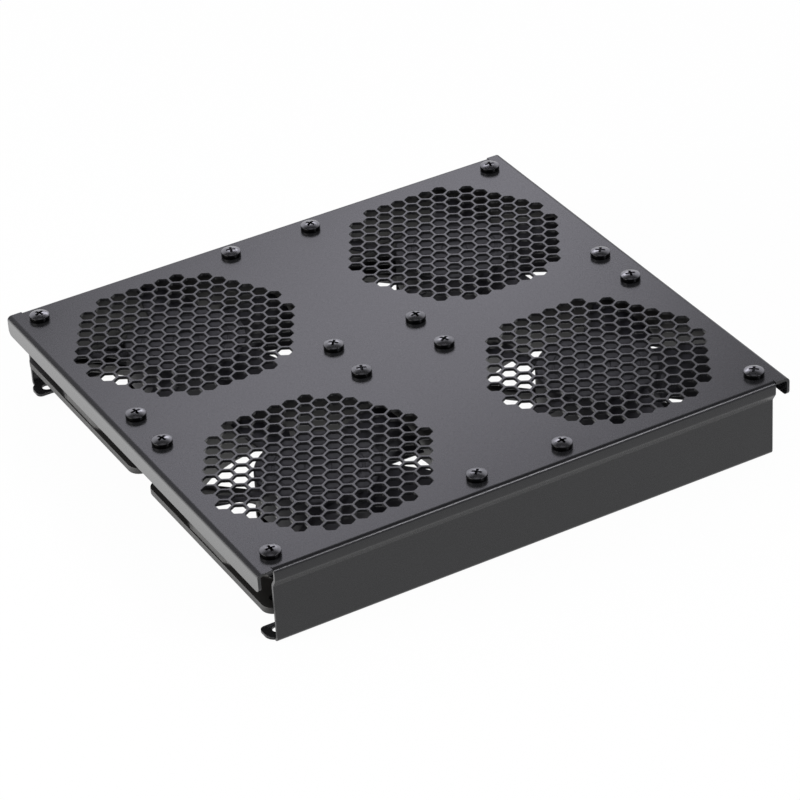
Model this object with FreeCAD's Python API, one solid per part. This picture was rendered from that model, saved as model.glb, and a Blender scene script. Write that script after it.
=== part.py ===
import FreeCAD, Part
import math
import os

Vector = FreeCAD.Vector

# Rack roof fan tray: a folded steel tray that carries four axial fans under a punched top.
# Millimetres. The origin is on the surface that the tray's return flanges stand on, at the
# middle of the tray. +X runs along the aprons, +Y to the back, +Z up.

# Sheet metal
sheet = 1.5
bend_radius = 0.8
lip_depth = 10.0
lip_corner_radius = 3.0
lip_edge_setback = 0.5
apron_end_gap = 8.0
strip_height = 6.2
joggle_height = 4.0
joggle_inset = 2.5
room_below_fans = 14.1
flange_width = 13.0
flange_end_overhang = 2.6
flange_outer_corner_radius = 5.0
flange_inner_corner_radius = 2.5
flange_lap = 1.0
mounting_hole_diameter = 5.5
mounting_hole_from_face = 8.0
mounting_hole_from_end = 7.1
relief_width = 0.3
relief_depth = 0.5

# Honeycomb in the top, one round patch over each fan
cell_pitch = 8.0
cell_web = 1.25
grille_margin = 4.5

# Fans and how they sit in the tray
fan_side = 119.5
fan_depth = 25.4
fan_gap_x = 30.5
fan_gap_y = 12.5
fan_to_lip = 3.75
fan_to_apron = 0.25
fan_hole_inset = 7.25
fan_hole_diameter = 4.5

# Fan frame
frame_flange = 3.5
frame_corner_radius = 6.0
frame_rim_wall = 1.25
frame_barrel_wall = 1.9
strut_width = 4.5
strut_height = 5.5
motor_base_thickness = 3.5
motor_base_margin = 0.5
strut_base_overlap = 1.0
bearing_tube_wall = 2.0
terminal_block_length = 12.0
terminal_block_width = 9.25
terminal_block_height = 9.0
terminal_block_place = -39.0
terminal_setback = 0.5

# Impeller and the rotor inside its hub
blade_count = 5
hub_radius = 29.5
hub_wall = 1.2
hub_top = 2.0
hub_recess = 1.5
hub_edge_radius = 1.0
hub_boss_radius = 5.0
hub_boss_height = 2.6
tip_clearance = 1.2
rotor_clearance = 0.9
blade_top_gap = 0.8
blade_thickness = 1.6
blade_camber = 2.2
blade_root_chord = 19.0
blade_tip_chord = 33.0
blade_tip_sweep = 10.0
blade_middle_sweep = 4.0
blade_root_overlap = 2.0
blade_tip_overrun = 3.0
rotor_ring_wall = 2.6
rotor_fit = 0.03
rest_angles = {"back_left": 8.7, "back_right": -8.5, "front_left": 27.0, "front_right": -20.0}

# Shaft, bearings and what keeps the rotor in
shaft_diameter = 4.0
shaft_running_fit = 0.02
bearing_diameter = 11.0
bearing_width = 4.0
bearing_fit = 0.02
bearing_recess = 0.5
bearing_shoulder = 1.3
cap_thickness = 0.8
shaft_end_gap = 0.3
retaining_clip_width = 0.5
retaining_clip_radius = 3.4
retaining_groove_depth = 0.4
retaining_clip_gap = 0.3
retaining_clip_play = 0.02
retaining_clip_mouth = 2.6

# Stator
air_gap = 0.6
stator_back_share = 0.19
stator_fit = 0.05
pole_count = 4
pole_neck_width = 8.0
pole_shoe_share = 0.22
pole_shoe_angle = 74.0
coil_build = 3.0
coil_side_share = 0.115
coil_inner_gap = 0.1
coil_corner_radius = 1.8
coil_end_gap = 0.8
motor_wire_diameter = 1.6
motor_wire_lift = 0.1
motor_wire_start = 5.0
motor_wire_outside = 3.5
wire_groove_start = 2.0
wire_groove_gap = 0.3
wire_groove_over = 0.5

# Fasteners
screw_diameter = 4.0
screw_length = 12.0
screw_head_diameter = 9.8
screw_head_side = 1.5
screw_head_height = 3.5
recess_depth = 2.2
recess_span = 4.8
recess_slot = 1.3
recess_end_slope = 1.3
thread_clearance = 0.05
screw_tip_chamfer = 0.4
screw_turn_step = 23.0
nut_turn_step = 11.0
washer_diameter = 8.5
washer_thickness = 0.8
nut_across_flats = 7.0
nut_height = 3.2

# Plugs and leads inside the tray
tab_width = 2.8
tab_thickness = 0.8
tab_spacing = 5.0
tab_reach = 6.0
slot_clearance = 0.1
plug_length = 8.0
plug_height = 8.0
plug_edge_radius = 1.0
lead_diameter = 4.0
lead_bend_radius = 8.0
lead_fall_radius = 12.0
lead_straight = 9.0
lead_jog_start = 6.0
lead_jog_length = 12.0
inner_lane = 4.0
plug_gap = 0.1
lead_clip_place = 48.0
lead_clip_length = 8.0
lead_clip_wall = 1.2
lead_clip_side_gap = 0.75

# Power inlet in the rear apron, and the earth stud beside it
inlet_width = 27.0
inlet_height = 19.8
inlet_depth = 16.0
inlet_rim = 2.0
inlet_rim_thickness = 2.0
inlet_wall = 1.3
inlet_back = 3.5
inlet_chamfer = 4.0
inlet_centre_height = 17.0
inlet_panel_clearance = 0.15
inlet_rim_radius = 0.8
snap_width = 10.8
snap_length = 4.0
snap_height = 0.7
snap_gap = 0.1
snap_overlap = 0.5
pin_width = 2.0
pin_height = 4.0
pin_spacing = 7.0
pin_offset = 2.0
pin_below_rim = 2.5
pin_tail = 6.5
pin_fit = 0.02
boot_length = 13.0
boot_wall = 1.2
bore_overrun = 2.0
boot_entry_depth = 1.5
boot_entry_rise = 2.0
stud_diameter = 4.0
stud_length = 10.0
stud_from_centre = 24.0
stud_height = 8.0
earth_lead_diameter = 2.5
earth_lead_loop = 9.0
earth_bend_radius = 4.5
ring_lug_thickness = 0.8
ring_lug_tail = 5.0
ring_lug_radius = 4.0
ring_lug_tail_gap = 1.0
earth_exit_x = 9.0
earth_exit_z = 11.0

# Sizes that follow from those above
bend_outer = bend_radius + sheet
fan_pitch_x = fan_side + fan_gap_x
fan_pitch_y = fan_side + fan_gap_y
half_width = fan_pitch_x / 2 + fan_side / 2 + fan_to_lip + sheet
lower_face_y = fan_pitch_y / 2 + fan_side / 2 + fan_to_apron + sheet
half_depth = lower_face_y + joggle_inset
fan_bottom = room_below_fans
fan_top = fan_bottom + fan_depth
tray_height = fan_top + sheet
apron_half = half_width - apron_end_gap
lip_end = half_depth - lip_edge_setback
flange_inner_y = lower_face_y - flange_width
flange_half = apron_half + flange_end_overhang
bore_radius = fan_side / 2 - frame_rim_wall
grille_radius = bore_radius - grille_margin
fan_hole_offset = fan_side / 2 - fan_hole_inset
base_top = fan_bottom + motor_base_thickness
hub_z_top = fan_top - hub_recess
hub_underside = hub_z_top - hub_top
rotor_bottom = max(fan_bottom + strut_height, base_top) + rotor_clearance
tube_radius = bearing_diameter / 2 + bearing_fit + bearing_tube_wall
tube_top = hub_underside - hub_boss_height - 2 * shaft_end_gap
ring_outer = hub_radius - hub_wall - rotor_fit
ring_inner = ring_outer - rotor_ring_wall
stator_radius = ring_inner - air_gap
stator_room = stator_radius - tube_radius - stator_fit
stator_back_wall = stator_back_share * stator_room
pole_shoe_thickness = pole_shoe_share * stator_room
coil_side_gap = coil_side_share * stator_room
coil_start = tube_radius + stator_fit + stator_back_wall + coil_side_gap
coil_end = stator_radius - pole_shoe_thickness - coil_side_gap
stator_bottom = base_top + coil_end_gap + coil_build
stator_top = hub_underside - coil_end_gap - coil_build
lower_clip_z = fan_bottom + cap_thickness + 2 * shaft_end_gap
lower_bearing_z = lower_clip_z + retaining_clip_width + retaining_clip_gap
upper_bearing_z = tube_top - bearing_recess - bearing_width
shaft_bottom = fan_bottom + cap_thickness + shaft_end_gap
terminal_z = fan_top - frame_flange - terminal_block_height + plug_height / 2
plug_face = fan_side / 2 - terminal_setback
inlet_back_y = lower_face_y - inlet_depth
boot_front_y = inlet_back_y - boot_length
lead_entry_z = inlet_centre_height + boot_entry_rise

fan_places = {
    "back_left": (-1, 1, 0.0, 1),
    "back_right": (1, 1, -90.0, -1),
    "front_left": (-1, -1, 90.0, -1),
    "front_right": (1, -1, 180.0, -1),
}


def box(low, high):
    size = [high[i] - low[i] for i in range(3)]
    return Part.makeBox(size[0], size[1], size[2], Vector(low[0], low[1], low[2]))


def cylinder(radius, low_z, high_z, x=0.0, y=0.0):
    return Part.makeCylinder(radius, high_z - low_z, Vector(x, y, low_z))


def ring(outer, inner, low_z, high_z, x=0.0, y=0.0):
    return cylinder(outer, low_z, high_z, x, y).cut(cylinder(inner, low_z - 1, high_z + 1, x, y))


def prism(points, direction):
    wire = Part.makePolygon(points + [points[0]])
    return Part.Face(wire).extrude(direction)


def rounded_path(points, radii):
    """Edges of straight runs joined by tangent arcs, one radius for each inner point."""
    edges = []
    start = points[0]
    for i in range(1, len(points) - 1):
        corner = points[i]
        to_last = (points[i - 1] - corner).normalize()
        to_next = (points[i + 1] - corner).normalize()
        half_angle = to_last.getAngle(to_next) / 2
        radius = radii[i - 1]
        if radius <= 0 or abs(half_angle - math.pi / 2) < 1e-6:
            edges.append(Part.LineSegment(start, corner).toShape())
            start = corner
            continue
        reach = radius / math.tan(half_angle)
        middle = (to_last + to_next).normalize()
        first = corner + to_last * reach
        last = corner + to_next * reach
        crown = corner + middle * (radius / math.sin(half_angle) - radius)
        if (first - start).Length > 1e-6:
            edges.append(Part.LineSegment(start, first).toShape())
        edges.append(Part.Arc(first, crown, last).toShape())
        start = last
    if (points[-1] - start).Length > 1e-6:
        edges.append(Part.LineSegment(start, points[-1]).toShape())
    return edges


def tube(points, radii, diameter):
    """A round lead along straight runs and tangent arcs."""
    path = Part.Wire(rounded_path(points, radii))
    direction = points[1] - points[0]
    section = Part.Wire(Part.makeCircle(diameter / 2, points[0], direction))
    return path.makePipeShell([section], True, True)


def offset_corners(points, distance):
    """Corner points of the path moved sideways in the YZ plane by a distance."""
    lines = []
    for first, last in zip(points[:-1], points[1:]):
        along = (last - first).normalize()
        side = Vector(0, -along.z, along.y) * distance
        lines.append((first + side, along))
    moved = [lines[0][0]]
    for (a, u), (b, v) in zip(lines[:-1], lines[1:]):
        cross = u.y * v.z - u.z * v.y
        step = ((b.y - a.y) * v.z - (b.z - a.z) * v.y) / cross
        moved.append(a + u * step)
    moved.append(points[-1] + Vector(0, -lines[-1][1].z, lines[-1][1].y) * distance)
    return moved


def folded_strip(points, half_length):
    """A sheet folded along a path in the YZ plane, extruded along X."""
    sides = []
    for sign in (1, -1):
        corners = offset_corners(points, sign * sheet / 2)
        radii = []
        for i in range(1, len(points) - 1):
            u = points[i] - points[i - 1]
            v = points[i + 1] - points[i]
            turn = u.y * v.z - u.z * v.y
            radii.append(bend_radius if turn * sign > 0 else bend_outer)
        sides.append((corners, rounded_path(corners, radii)))
    near, far = sides[0], sides[1]
    caps = [Part.LineSegment(near[0][0], far[0][0]).toShape()]
    caps.append(Part.LineSegment(near[0][-1], far[0][-1]).toShape())
    wire = Part.Wire(Part.__sortEdges__(near[1] + far[1] + caps))
    face = Part.Face(wire)
    face.translate(Vector(-half_length, 0, 0))
    return face.extrude(Vector(2 * half_length, 0, 0))


def apron():
    """Front apron: bent down from the top, joggled inwards, with a return flange at its foot."""
    half = sheet / 2
    outer = half_depth - half
    inner = lower_face_y - half
    top = tray_height - half
    joggle_top = tray_height - strip_height
    joggle_bottom = joggle_top - joggle_height
    path = [
        Vector(0, -(half_depth - bend_outer), top),
        Vector(0, -outer, top),
        Vector(0, -outer, joggle_top),
        Vector(0, -inner, joggle_bottom),
        Vector(0, -inner, half),
        Vector(0, -(lower_face_y - bend_outer - flange_lap), half),
    ]
    strip = folded_strip(path, apron_half)
    flange = box((-flange_half, -(lower_face_y - bend_outer), 0), (flange_half, -flange_inner_y, sheet))
    ends = ((lower_face_y - bend_outer, flange_outer_corner_radius),
            (flange_inner_y, flange_inner_corner_radius))
    for end_y, corner_radius in ends:
        corners = [
            edge for edge in flange.Edges
            if abs(edge.Length - sheet) < 1e-6 and abs(edge.CenterOfMass.y + end_y) < 1e-3
        ]
        flange = flange.makeFillet(corner_radius, corners)
    hole_y = -(lower_face_y - mounting_hole_from_face)
    for side in (-1, 1):
        hole_x = side * (flange_half - mounting_hole_from_end)
        flange = flange.cut(cylinder(mounting_hole_diameter / 2, -1, sheet + 1, hole_x, hole_y))
    return strip.fuse(flange)


def side_lip():
    """Right side lip: a quarter bend and a short drop with rounded lower corners."""
    half = sheet / 2
    path = [
        Vector(0, half_width - bend_outer, tray_height - half),
        Vector(0, half_width - half, tray_height - half),
        Vector(0, half_width - half, tray_height - lip_depth),
    ]
    strip = folded_strip(path, lip_end)
    strip.rotate(Vector(0, 0, 0), Vector(0, 0, 1), -90)
    corners = [
        edge for edge in strip.Edges
        if abs(edge.Length - sheet) < 1e-6 and abs(edge.CenterOfMass.z - (tray_height - lip_depth)) < 1e-3
    ]
    return strip.makeFillet(lip_corner_radius, corners)


def cell_centres():
    """Centres of the honeycomb cells of one patch, from the patch's centre."""
    row_step = cell_pitch * math.sqrt(3) / 2
    rows = int(grille_radius / row_step) + 1
    columns = int(grille_radius / cell_pitch) + 2
    centres = []
    for row in range(-rows, rows + 1):
        for column in range(-columns, columns + 1):
            x = (column + 0.5 * (row % 2)) * cell_pitch
            y = row * row_step
            if math.hypot(x, y) <= grille_radius:
                centres.append((x, y))
    return centres


def hexagon(x, y, z):
    corner = (cell_pitch - cell_web) / math.sqrt(3)
    angles = [math.pi / 6 - k * math.pi / 3 for k in range(6)]
    points = [Vector(x + corner * math.cos(a), y + corner * math.sin(a), z) for a in angles]
    return Part.makePolygon(points + [points[0]])


def top_quarter(side_x, side_y):
    """One quarter of the top, out to the start of the bends, with its honeycomb and screw holes."""
    flat_x = half_width - bend_outer
    flat_y = half_depth - bend_outer
    relief_x = apron_half + relief_width
    z = tray_height - sheet
    outline = [
        (0, 0),
        (flat_x, 0),
        (flat_x, lip_end),
        (relief_x, lip_end),
        (relief_x, flat_y - relief_depth),
        (apron_half, flat_y - relief_depth),
        (apron_half, flat_y),
        (0, flat_y),
    ]
    points = [Vector(side_x * x, side_y * y, z) for x, y in outline]
    if side_x * side_y < 0:
        points.reverse()
    wires = [Part.makePolygon(points + [points[0]])]
    centre_x = side_x * fan_pitch_x / 2
    centre_y = side_y * fan_pitch_y / 2
    for x, y in cell_centres():
        wires.append(hexagon(centre_x + x, centre_y + y, z))
    for x in (-fan_hole_offset, fan_hole_offset):
        for y in (-fan_hole_offset, fan_hole_offset):
            place = Vector(centre_x + x, centre_y + y, z)
            wires.append(Part.Wire(Part.makeCircle(fan_hole_diameter / 2, place, Vector(0, 0, -1))))
    return Part.Face(wires).extrude(Vector(0, 0, sheet))


def inlet_outline(width, height, y, chamfer):
    """A rectangle about the inlet's centre with its two upper corners cut off."""
    low = inlet_centre_height - height / 2
    high = inlet_centre_height + height / 2
    half = width / 2
    return [
        Vector(-half, y, low),
        Vector(half, y, low),
        Vector(half, y, high - chamfer),
        Vector(half - chamfer, y, high),
        Vector(-half + chamfer, y, high),
        Vector(-half, y, high - chamfer),
    ]


def tray():
    front = apron()
    rear = apron()
    rear.rotate(Vector(0, 0, 0), Vector(0, 0, 1), 180)
    width = inlet_width + 2 * inlet_panel_clearance
    height = inlet_height + 2 * inlet_panel_clearance
    low = inlet_centre_height - height / 2
    cut_out = box((-width / 2, flange_inner_y, low), (width / 2, half_depth + 1, low + height))
    rear = rear.cut(cut_out)
    right = side_lip()
    left = side_lip()
    left.rotate(Vector(0, 0, 0), Vector(0, 0, 1), 180)
    quarters = [top_quarter(x, y) for x in (-1, 1) for y in (-1, 1)]
    return quarters[0].fuse(quarters[1:] + [front, rear, left, right])


def square_plate(side, low_z, high_z, corner_radius):
    plate = box((-side / 2, -side / 2, low_z), (side / 2, side / 2, high_z))
    corners = [
        edge for edge in plate.Edges
        if abs(edge.Vertexes[0].Z - edge.Vertexes[1].Z) > 1e-6
    ]
    return plate.makeFillet(corner_radius, corners)


def terminal_slots(reach, clearance):
    """The two tabs of a fan's terminals, or the slots that take them."""
    start = fan_side / 2 - terminal_block_width / 2
    solids = []
    for side in (-1, 1):
        y = terminal_block_place + side * tab_spacing / 2
        solids.append(box(
            (start - clearance, y - tab_thickness / 2 - clearance, terminal_z - tab_width / 2 - clearance),
            (plug_face + reach + clearance, y + tab_thickness / 2 + clearance,
             terminal_z + tab_width / 2 + clearance),
        ))
    return solids


def fan_frame():
    """Die-cast frame: two square flanges on a round barrel, struts, motor base and bearing tube."""
    upper = square_plate(fan_side, fan_top - frame_flange, fan_top, frame_corner_radius)
    lower = square_plate(fan_side, fan_bottom, fan_bottom + frame_flange, frame_corner_radius)
    barrel = cylinder(bore_radius + frame_barrel_wall, fan_bottom, fan_top)
    barrel = barrel.common(square_plate(fan_side, fan_bottom, fan_top, frame_corner_radius))
    block = box(
        (plug_face - terminal_block_width, terminal_block_place - terminal_block_length / 2,
         fan_top - frame_flange - terminal_block_height),
        (plug_face, terminal_block_place + terminal_block_length / 2, fan_top - frame_flange),
    )
    frame = upper.fuse([lower, barrel, block])
    frame = frame.cut(cylinder(bore_radius, fan_bottom - 1, fan_top + 1))
    base = cylinder(hub_radius + motor_base_margin, fan_bottom, base_top)
    bearing_tube = cylinder(tube_radius, fan_bottom, tube_top)
    struts = []
    for k in range(4):
        strut = box(
            (tube_radius, -strut_width / 2, fan_bottom),
            (bore_radius + frame_barrel_wall / 2, strut_width / 2, fan_bottom + strut_height),
        )
        strut.rotate(Vector(0, 0, 0), Vector(0, 0, 1), 45 + 90 * k)
        struts.append(strut)
    struts = struts[0].fuse(struts[1:]).cut(
        cylinder(hub_radius + motor_base_margin - strut_base_overlap, base_top, fan_top))
    frame = frame.fuse([base, bearing_tube, struts])
    seat = bearing_diameter / 2 + bearing_fit
    cuts = [
        cylinder(seat, fan_bottom - 1, lower_bearing_z + bearing_width),
        cylinder(seat - bearing_shoulder, fan_bottom, fan_top),
        cylinder(seat, upper_bearing_z, fan_top),
    ]
    for x in (-fan_hole_offset, fan_hole_offset):
        for y in (-fan_hole_offset, fan_hole_offset):
            cuts.append(cylinder(fan_hole_diameter / 2, fan_bottom - 1, fan_top + 1, x, y))
    groove = box(
        (tube_radius + wire_groove_start, -motor_wire_diameter / 2 - wire_groove_gap, base_top),
        (bore_radius + 2 * frame_barrel_wall, motor_wire_diameter / 2 + wire_groove_gap,
         fan_bottom + strut_height + wire_groove_over),
    )
    groove.rotate(Vector(0, 0, 0), Vector(0, 0, 1), -45)
    cuts.append(groove)
    cuts += terminal_slots(0.0, slot_clearance)
    wire_x = plug_face - terminal_block_width / 2
    cuts.append(cylinder(
        motor_wire_diameter / 2 + slot_clearance, fan_bottom + strut_height,
        terminal_z - tab_width / 2, wire_x, terminal_block_place))
    return frame.cut(cuts)


def blade_section(distance, chord, shift):
    """Closed outline of the blade at one distance from the axis, in a plane square to X."""
    high = Vector(distance, shift + chord / 2, hub_z_top - blade_top_gap - blade_thickness / 2)
    low = Vector(distance, shift - chord / 2, rotor_bottom + blade_thickness / 2)
    along = low - high
    normal = Vector(0, along.z, -along.y).normalize()
    if normal.z < 0:
        normal = normal * -1
    middle = (high + low) * 0.5 + normal * blade_camber
    half = blade_thickness / 2
    end = along.normalize()
    upper = [high + normal * half * 0.5, middle + normal * half, low + normal * half * 0.5]
    lower = [low - normal * half * 0.5, middle - normal * half, high - normal * half * 0.5]
    edges = [
        Part.Arc(upper[0], upper[1], upper[2]).toShape(),
        Part.Arc(upper[2], low + end * half * 0.5, lower[0]).toShape(),
        Part.Arc(lower[0], lower[1], lower[2]).toShape(),
        Part.Arc(lower[2], high - end * half * 0.5, upper[0]).toShape(),
    ]
    return Part.Wire(edges)


def impeller():
    """Moulded impeller: a cup-shaped hub with five cambered, swept blades."""
    tip_radius = bore_radius - tip_clearance
    cup = cylinder(hub_radius, rotor_bottom, hub_z_top)
    rim = [
        edge for edge in cup.Edges
        if abs(edge.CenterOfMass.z - hub_z_top) < 1e-6 and len(edge.Vertexes) == 1
    ]
    cup = cup.makeFillet(hub_edge_radius, rim)
    cup = cup.cut(cylinder(hub_radius - hub_wall, rotor_bottom - 1, hub_underside))
    boss = cylinder(hub_boss_radius, hub_underside - hub_boss_height, hub_underside + hub_top / 2)
    cup = cup.fuse(boss)
    bore = cylinder(shaft_diameter / 2 + shaft_running_fit, rotor_bottom, hub_z_top - hub_top / 2)
    cup = cup.cut(bore)
    root = hub_radius - hub_wall - blade_root_overlap
    outside = tip_radius + blade_tip_overrun
    sections = [
        blade_section(root, blade_root_chord, 0.0),
        blade_section((root + outside) / 2, (blade_root_chord + blade_tip_chord) / 2,
                      -blade_middle_sweep),
        blade_section(outside, blade_tip_chord, -blade_tip_sweep),
    ]
    blade = Part.makeLoft(sections, True, False)
    keep = ring(tip_radius, hub_radius - hub_wall / 2, rotor_bottom, hub_z_top)
    blade = blade.common(keep)
    blades = []
    for k in range(blade_count):
        copy = blade.copy()
        copy.rotate(Vector(0, 0, 0), Vector(0, 0, 1), 360.0 * k / blade_count)
        blades.append(copy)
    return cup.fuse(blades)


def rotor_ring():
    return ring(ring_outer, ring_inner, rotor_bottom, hub_underside - rotor_fit)


def shaft():
    body = cylinder(shaft_diameter / 2, shaft_bottom, hub_z_top - hub_top / 2 - rotor_fit)
    groove = ring(shaft_diameter, shaft_diameter / 2 - retaining_groove_depth,
                  lower_clip_z, lower_clip_z + retaining_clip_width)
    return body.cut(groove)


def retaining_clip():
    """Split ring that snaps into the shaft's groove under the lower bearing."""
    inner = shaft_diameter / 2 - retaining_groove_depth + shaft_running_fit
    clip = ring(retaining_clip_radius, inner, lower_clip_z + retaining_clip_play,
                lower_clip_z + retaining_clip_width - retaining_clip_play)
    mouth = box((0, -retaining_clip_mouth / 2, lower_clip_z - 1),
                (retaining_clip_radius + 1, retaining_clip_mouth / 2, lower_clip_z + 2))
    return clip.cut(mouth)


def bearings():
    pair = []
    for low in (lower_bearing_z, upper_bearing_z):
        pair.append(ring(bearing_diameter / 2, shaft_diameter / 2 + shaft_running_fit,
                         low, low + bearing_width))
    return Part.makeCompound(pair)


def bearing_cap():
    return cylinder(bearing_diameter / 2 - bearing_fit, fan_bottom, fan_bottom + cap_thickness)


def stator_core():
    """Laminated core: a ring on the bearing tube with four necks and curved pole shoes."""
    inner = tube_radius + stator_fit
    shoe_inner = stator_radius - pole_shoe_thickness
    back = ring(inner + stator_back_wall, inner, stator_bottom, stator_top)
    pieces = []
    half_shoe = math.radians(pole_shoe_angle / 2)
    for k in range(pole_count):
        neck = box((inner + stator_back_wall / 2, -pole_neck_width / 2, stator_bottom),
                   (shoe_inner + pole_shoe_thickness / 2, pole_neck_width / 2, stator_top))
        wedge = prism([
            Vector(0, 0, stator_bottom),
            Vector(2 * stator_radius * math.cos(half_shoe), -2 * stator_radius * math.sin(half_shoe),
                   stator_bottom),
            Vector(2 * stator_radius * math.cos(half_shoe), 2 * stator_radius * math.sin(half_shoe),
                   stator_bottom),
        ], Vector(0, 0, stator_top - stator_bottom))
        shoe = ring(stator_radius, shoe_inner, stator_bottom, stator_top).common(wedge)
        for piece in (neck, shoe):
            piece.rotate(Vector(0, 0, 0), Vector(0, 0, 1), 360.0 * k / pole_count)
            pieces.append(piece)
    return back.fuse(pieces)


def stator_coils():
    """One wound coil round each pole neck."""
    fit = coil_inner_gap
    coils = []
    for k in range(pole_count):
        low = (coil_start, -pole_neck_width / 2 - coil_build, stator_bottom - coil_build)
        high = (coil_end, pole_neck_width / 2 + coil_build, stator_top + coil_build)
        coil = box(low, high)
        long_edges = [
            edge for edge in coil.Edges
            if abs(edge.Vertexes[0].X - edge.Vertexes[1].X) > 1e-6
        ]
        coil = coil.makeFillet(coil_corner_radius, long_edges)
        coil = coil.cut(box((low[0] - 1, -pole_neck_width / 2 - fit, stator_bottom - fit),
                            (high[0] + 1, pole_neck_width / 2 + fit, stator_top + fit)))
        coil.rotate(Vector(0, 0, 0), Vector(0, 0, 1), 360.0 * k / pole_count)
        coils.append(coil)
    return Part.makeCompound(coils)


def motor_wire():
    """The winding's lead-out: along the wiring strut, through the barrel, up into the terminals."""
    z = base_top + motor_wire_diameter / 2 + motor_wire_lift
    diagonal = math.sqrt(0.5)
    start = tube_radius + motor_wire_start
    outside = bore_radius + frame_barrel_wall + motor_wire_outside
    wire_x = plug_face - terminal_block_width / 2
    middle_z = (z + terminal_z) / 2
    points = [
        Vector(start * diagonal, -start * diagonal, z),
        Vector(outside * diagonal, -outside * diagonal, z),
        Vector(outside * diagonal, -outside * diagonal, middle_z),
        Vector(wire_x, terminal_block_place, middle_z),
        Vector(wire_x, terminal_block_place, terminal_z - tab_width / 2 - 2 * slot_clearance),
    ]
    radius = motor_wire_diameter
    return tube(points, [radius, radius, radius], motor_wire_diameter)


def terminals():
    return Part.makeCompound(terminal_slots(tab_reach, 0.0))


def plug():
    """Push-on plug over the fan's two tabs, its lead leaving at one side."""
    low = (plug_face + plug_gap, terminal_block_place - terminal_block_length / 2,
           terminal_z - plug_height / 2)
    high = (plug_face + plug_gap + plug_length, terminal_block_place + terminal_block_length / 2,
            terminal_z + plug_height / 2)
    body = box(low, high)
    edges = [edge for edge in body.Edges if abs(edge.CenterOfMass.x - high[0]) < 1e-6]
    body = body.makeFillet(plug_edge_radius, edges)
    return body.cut(terminal_slots(tab_reach, slot_clearance))


def fan_matrix(name):
    side_x, side_y, turn = fan_places[name][:3]
    matrix = FreeCAD.Matrix()
    matrix.rotateZ(math.radians(turn))
    matrix.move(Vector(side_x * fan_pitch_x / 2, side_y * fan_pitch_y / 2, 0))
    return matrix


def placed(shape, name):
    copy = shape.copy()
    copy.transformShape(fan_matrix(name))
    return copy


def lead(name):
    """Fan lead from its plug to the boot on the power inlet, down the channel between the fans."""
    exit_side = fan_places[name][3]
    plug_middle = plug_face + plug_gap + plug_length / 2
    exit_y = terminal_block_place + exit_side * terminal_block_length / 2
    start = fan_matrix(name).multiply(Vector(plug_middle, exit_y, terminal_z))
    outer_lane = fan_pitch_x / 2 - plug_middle
    lane = {"back_left": -outer_lane, "front_left": -inner_lane,
            "front_right": inner_lane, "back_right": outer_lane}[name]
    fall_start = lead_clip_place + lead_clip_length / 2 + lead_straight
    fall_end = boot_front_y - lead_straight
    end_y = boot_front_y + boot_wall + boot_entry_depth
    points = [start]
    radii = []
    if name == "front_right":
        points.append(Vector(start.x, start.y + lead_jog_start, terminal_z))
        points.append(Vector(lane, start.y + lead_jog_start + lead_jog_length, terminal_z))
        radii += [lead_bend_radius, lead_bend_radius]
    elif name != "back_left":
        points.append(Vector(lane, start.y, terminal_z))
        radii.append(lead_bend_radius)
    points += [
        Vector(lane, fall_start, terminal_z),
        Vector(lane, fall_end, lead_entry_z),
        Vector(lane, end_y, lead_entry_z),
    ]
    radii += [lead_fall_radius, lead_fall_radius]
    return tube(points, radii, lead_diameter), lane


def lead_clip(lanes):
    """Comb clip bonded under the top, with a hole for each lead."""
    half = fan_gap_x / 2 - lead_clip_side_gap
    low_z = terminal_z - lead_diameter / 2 - lead_clip_wall
    front = lead_clip_place - lead_clip_length / 2
    body = box((-half, front, low_z), (half, front + lead_clip_length, tray_height - sheet))
    edges = [
        edge for edge in body.Edges
        if abs(edge.CenterOfMass.z - low_z) < 1e-6 and abs(abs(edge.CenterOfMass.x) - half) < 1e-6
    ]
    body = body.makeFillet(lead_clip_wall, edges)
    for lane in lanes:
        hole = Part.makeCylinder(lead_diameter / 2 + slot_clearance, lead_clip_length + 2,
                                 Vector(lane, front - 1, terminal_z), Vector(0, 1, 0))
        body = body.cut(hole)
    return body


def fan_screw():
    """Pan-head screw with a cross recess, standing on the top at the origin."""
    edge = screw_head_diameter / 2
    dome = screw_head_height - screw_head_side
    dome_radius = (edge ** 2 + dome ** 2) / (2 * dome)
    half_turn = math.asin(edge / dome_radius) / 2
    shoulder = (dome_radius * math.sin(half_turn),
                screw_head_height - dome_radius * (1 - math.cos(half_turn)))
    profile = [
        Part.LineSegment(Vector(0, 0, 0), Vector(edge, 0, 0)).toShape(),
        Part.LineSegment(Vector(edge, 0, 0), Vector(edge, 0, screw_head_side)).toShape(),
        Part.Arc(Vector(edge, 0, screw_head_side), Vector(shoulder[0], 0, shoulder[1]),
                 Vector(0, 0, screw_head_height)).toShape(),
        Part.LineSegment(Vector(0, 0, screw_head_height), Vector(0, 0, 0)).toShape(),
    ]
    head = Part.Face(Part.Wire(profile)).revolve(Vector(0, 0, 0), Vector(0, 0, 1), 360)
    shank = cylinder(screw_diameter / 2, -screw_length, screw_head_side / 2)
    tip = [
        item for item in shank.Edges
        if abs(item.CenterOfMass.z + screw_length) < 1e-6 and len(item.Vertexes) == 1
    ]
    shank = shank.makeChamfer(screw_tip_chamfer, tip)
    screw = head.fuse(shank)
    floor = screw_head_height - recess_depth
    slot = box((-recess_span / 2, -recess_slot / 2, floor),
               (recess_span / 2, recess_slot / 2, screw_head_height + 1))
    ends = []
    for edge_item in slot.Edges:
        middle = edge_item.CenterOfMass
        if abs(middle.z - floor) < 1e-6 and abs(abs(middle.x) - recess_span / 2) < 1e-6:
            ends.append(edge_item)
    slot = slot.makeChamfer(recess_end_slope, ends)
    cross = slot.copy()
    cross.rotate(Vector(0, 0, 0), Vector(0, 0, 1), 90)
    return screw.cut([slot, cross])


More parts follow.
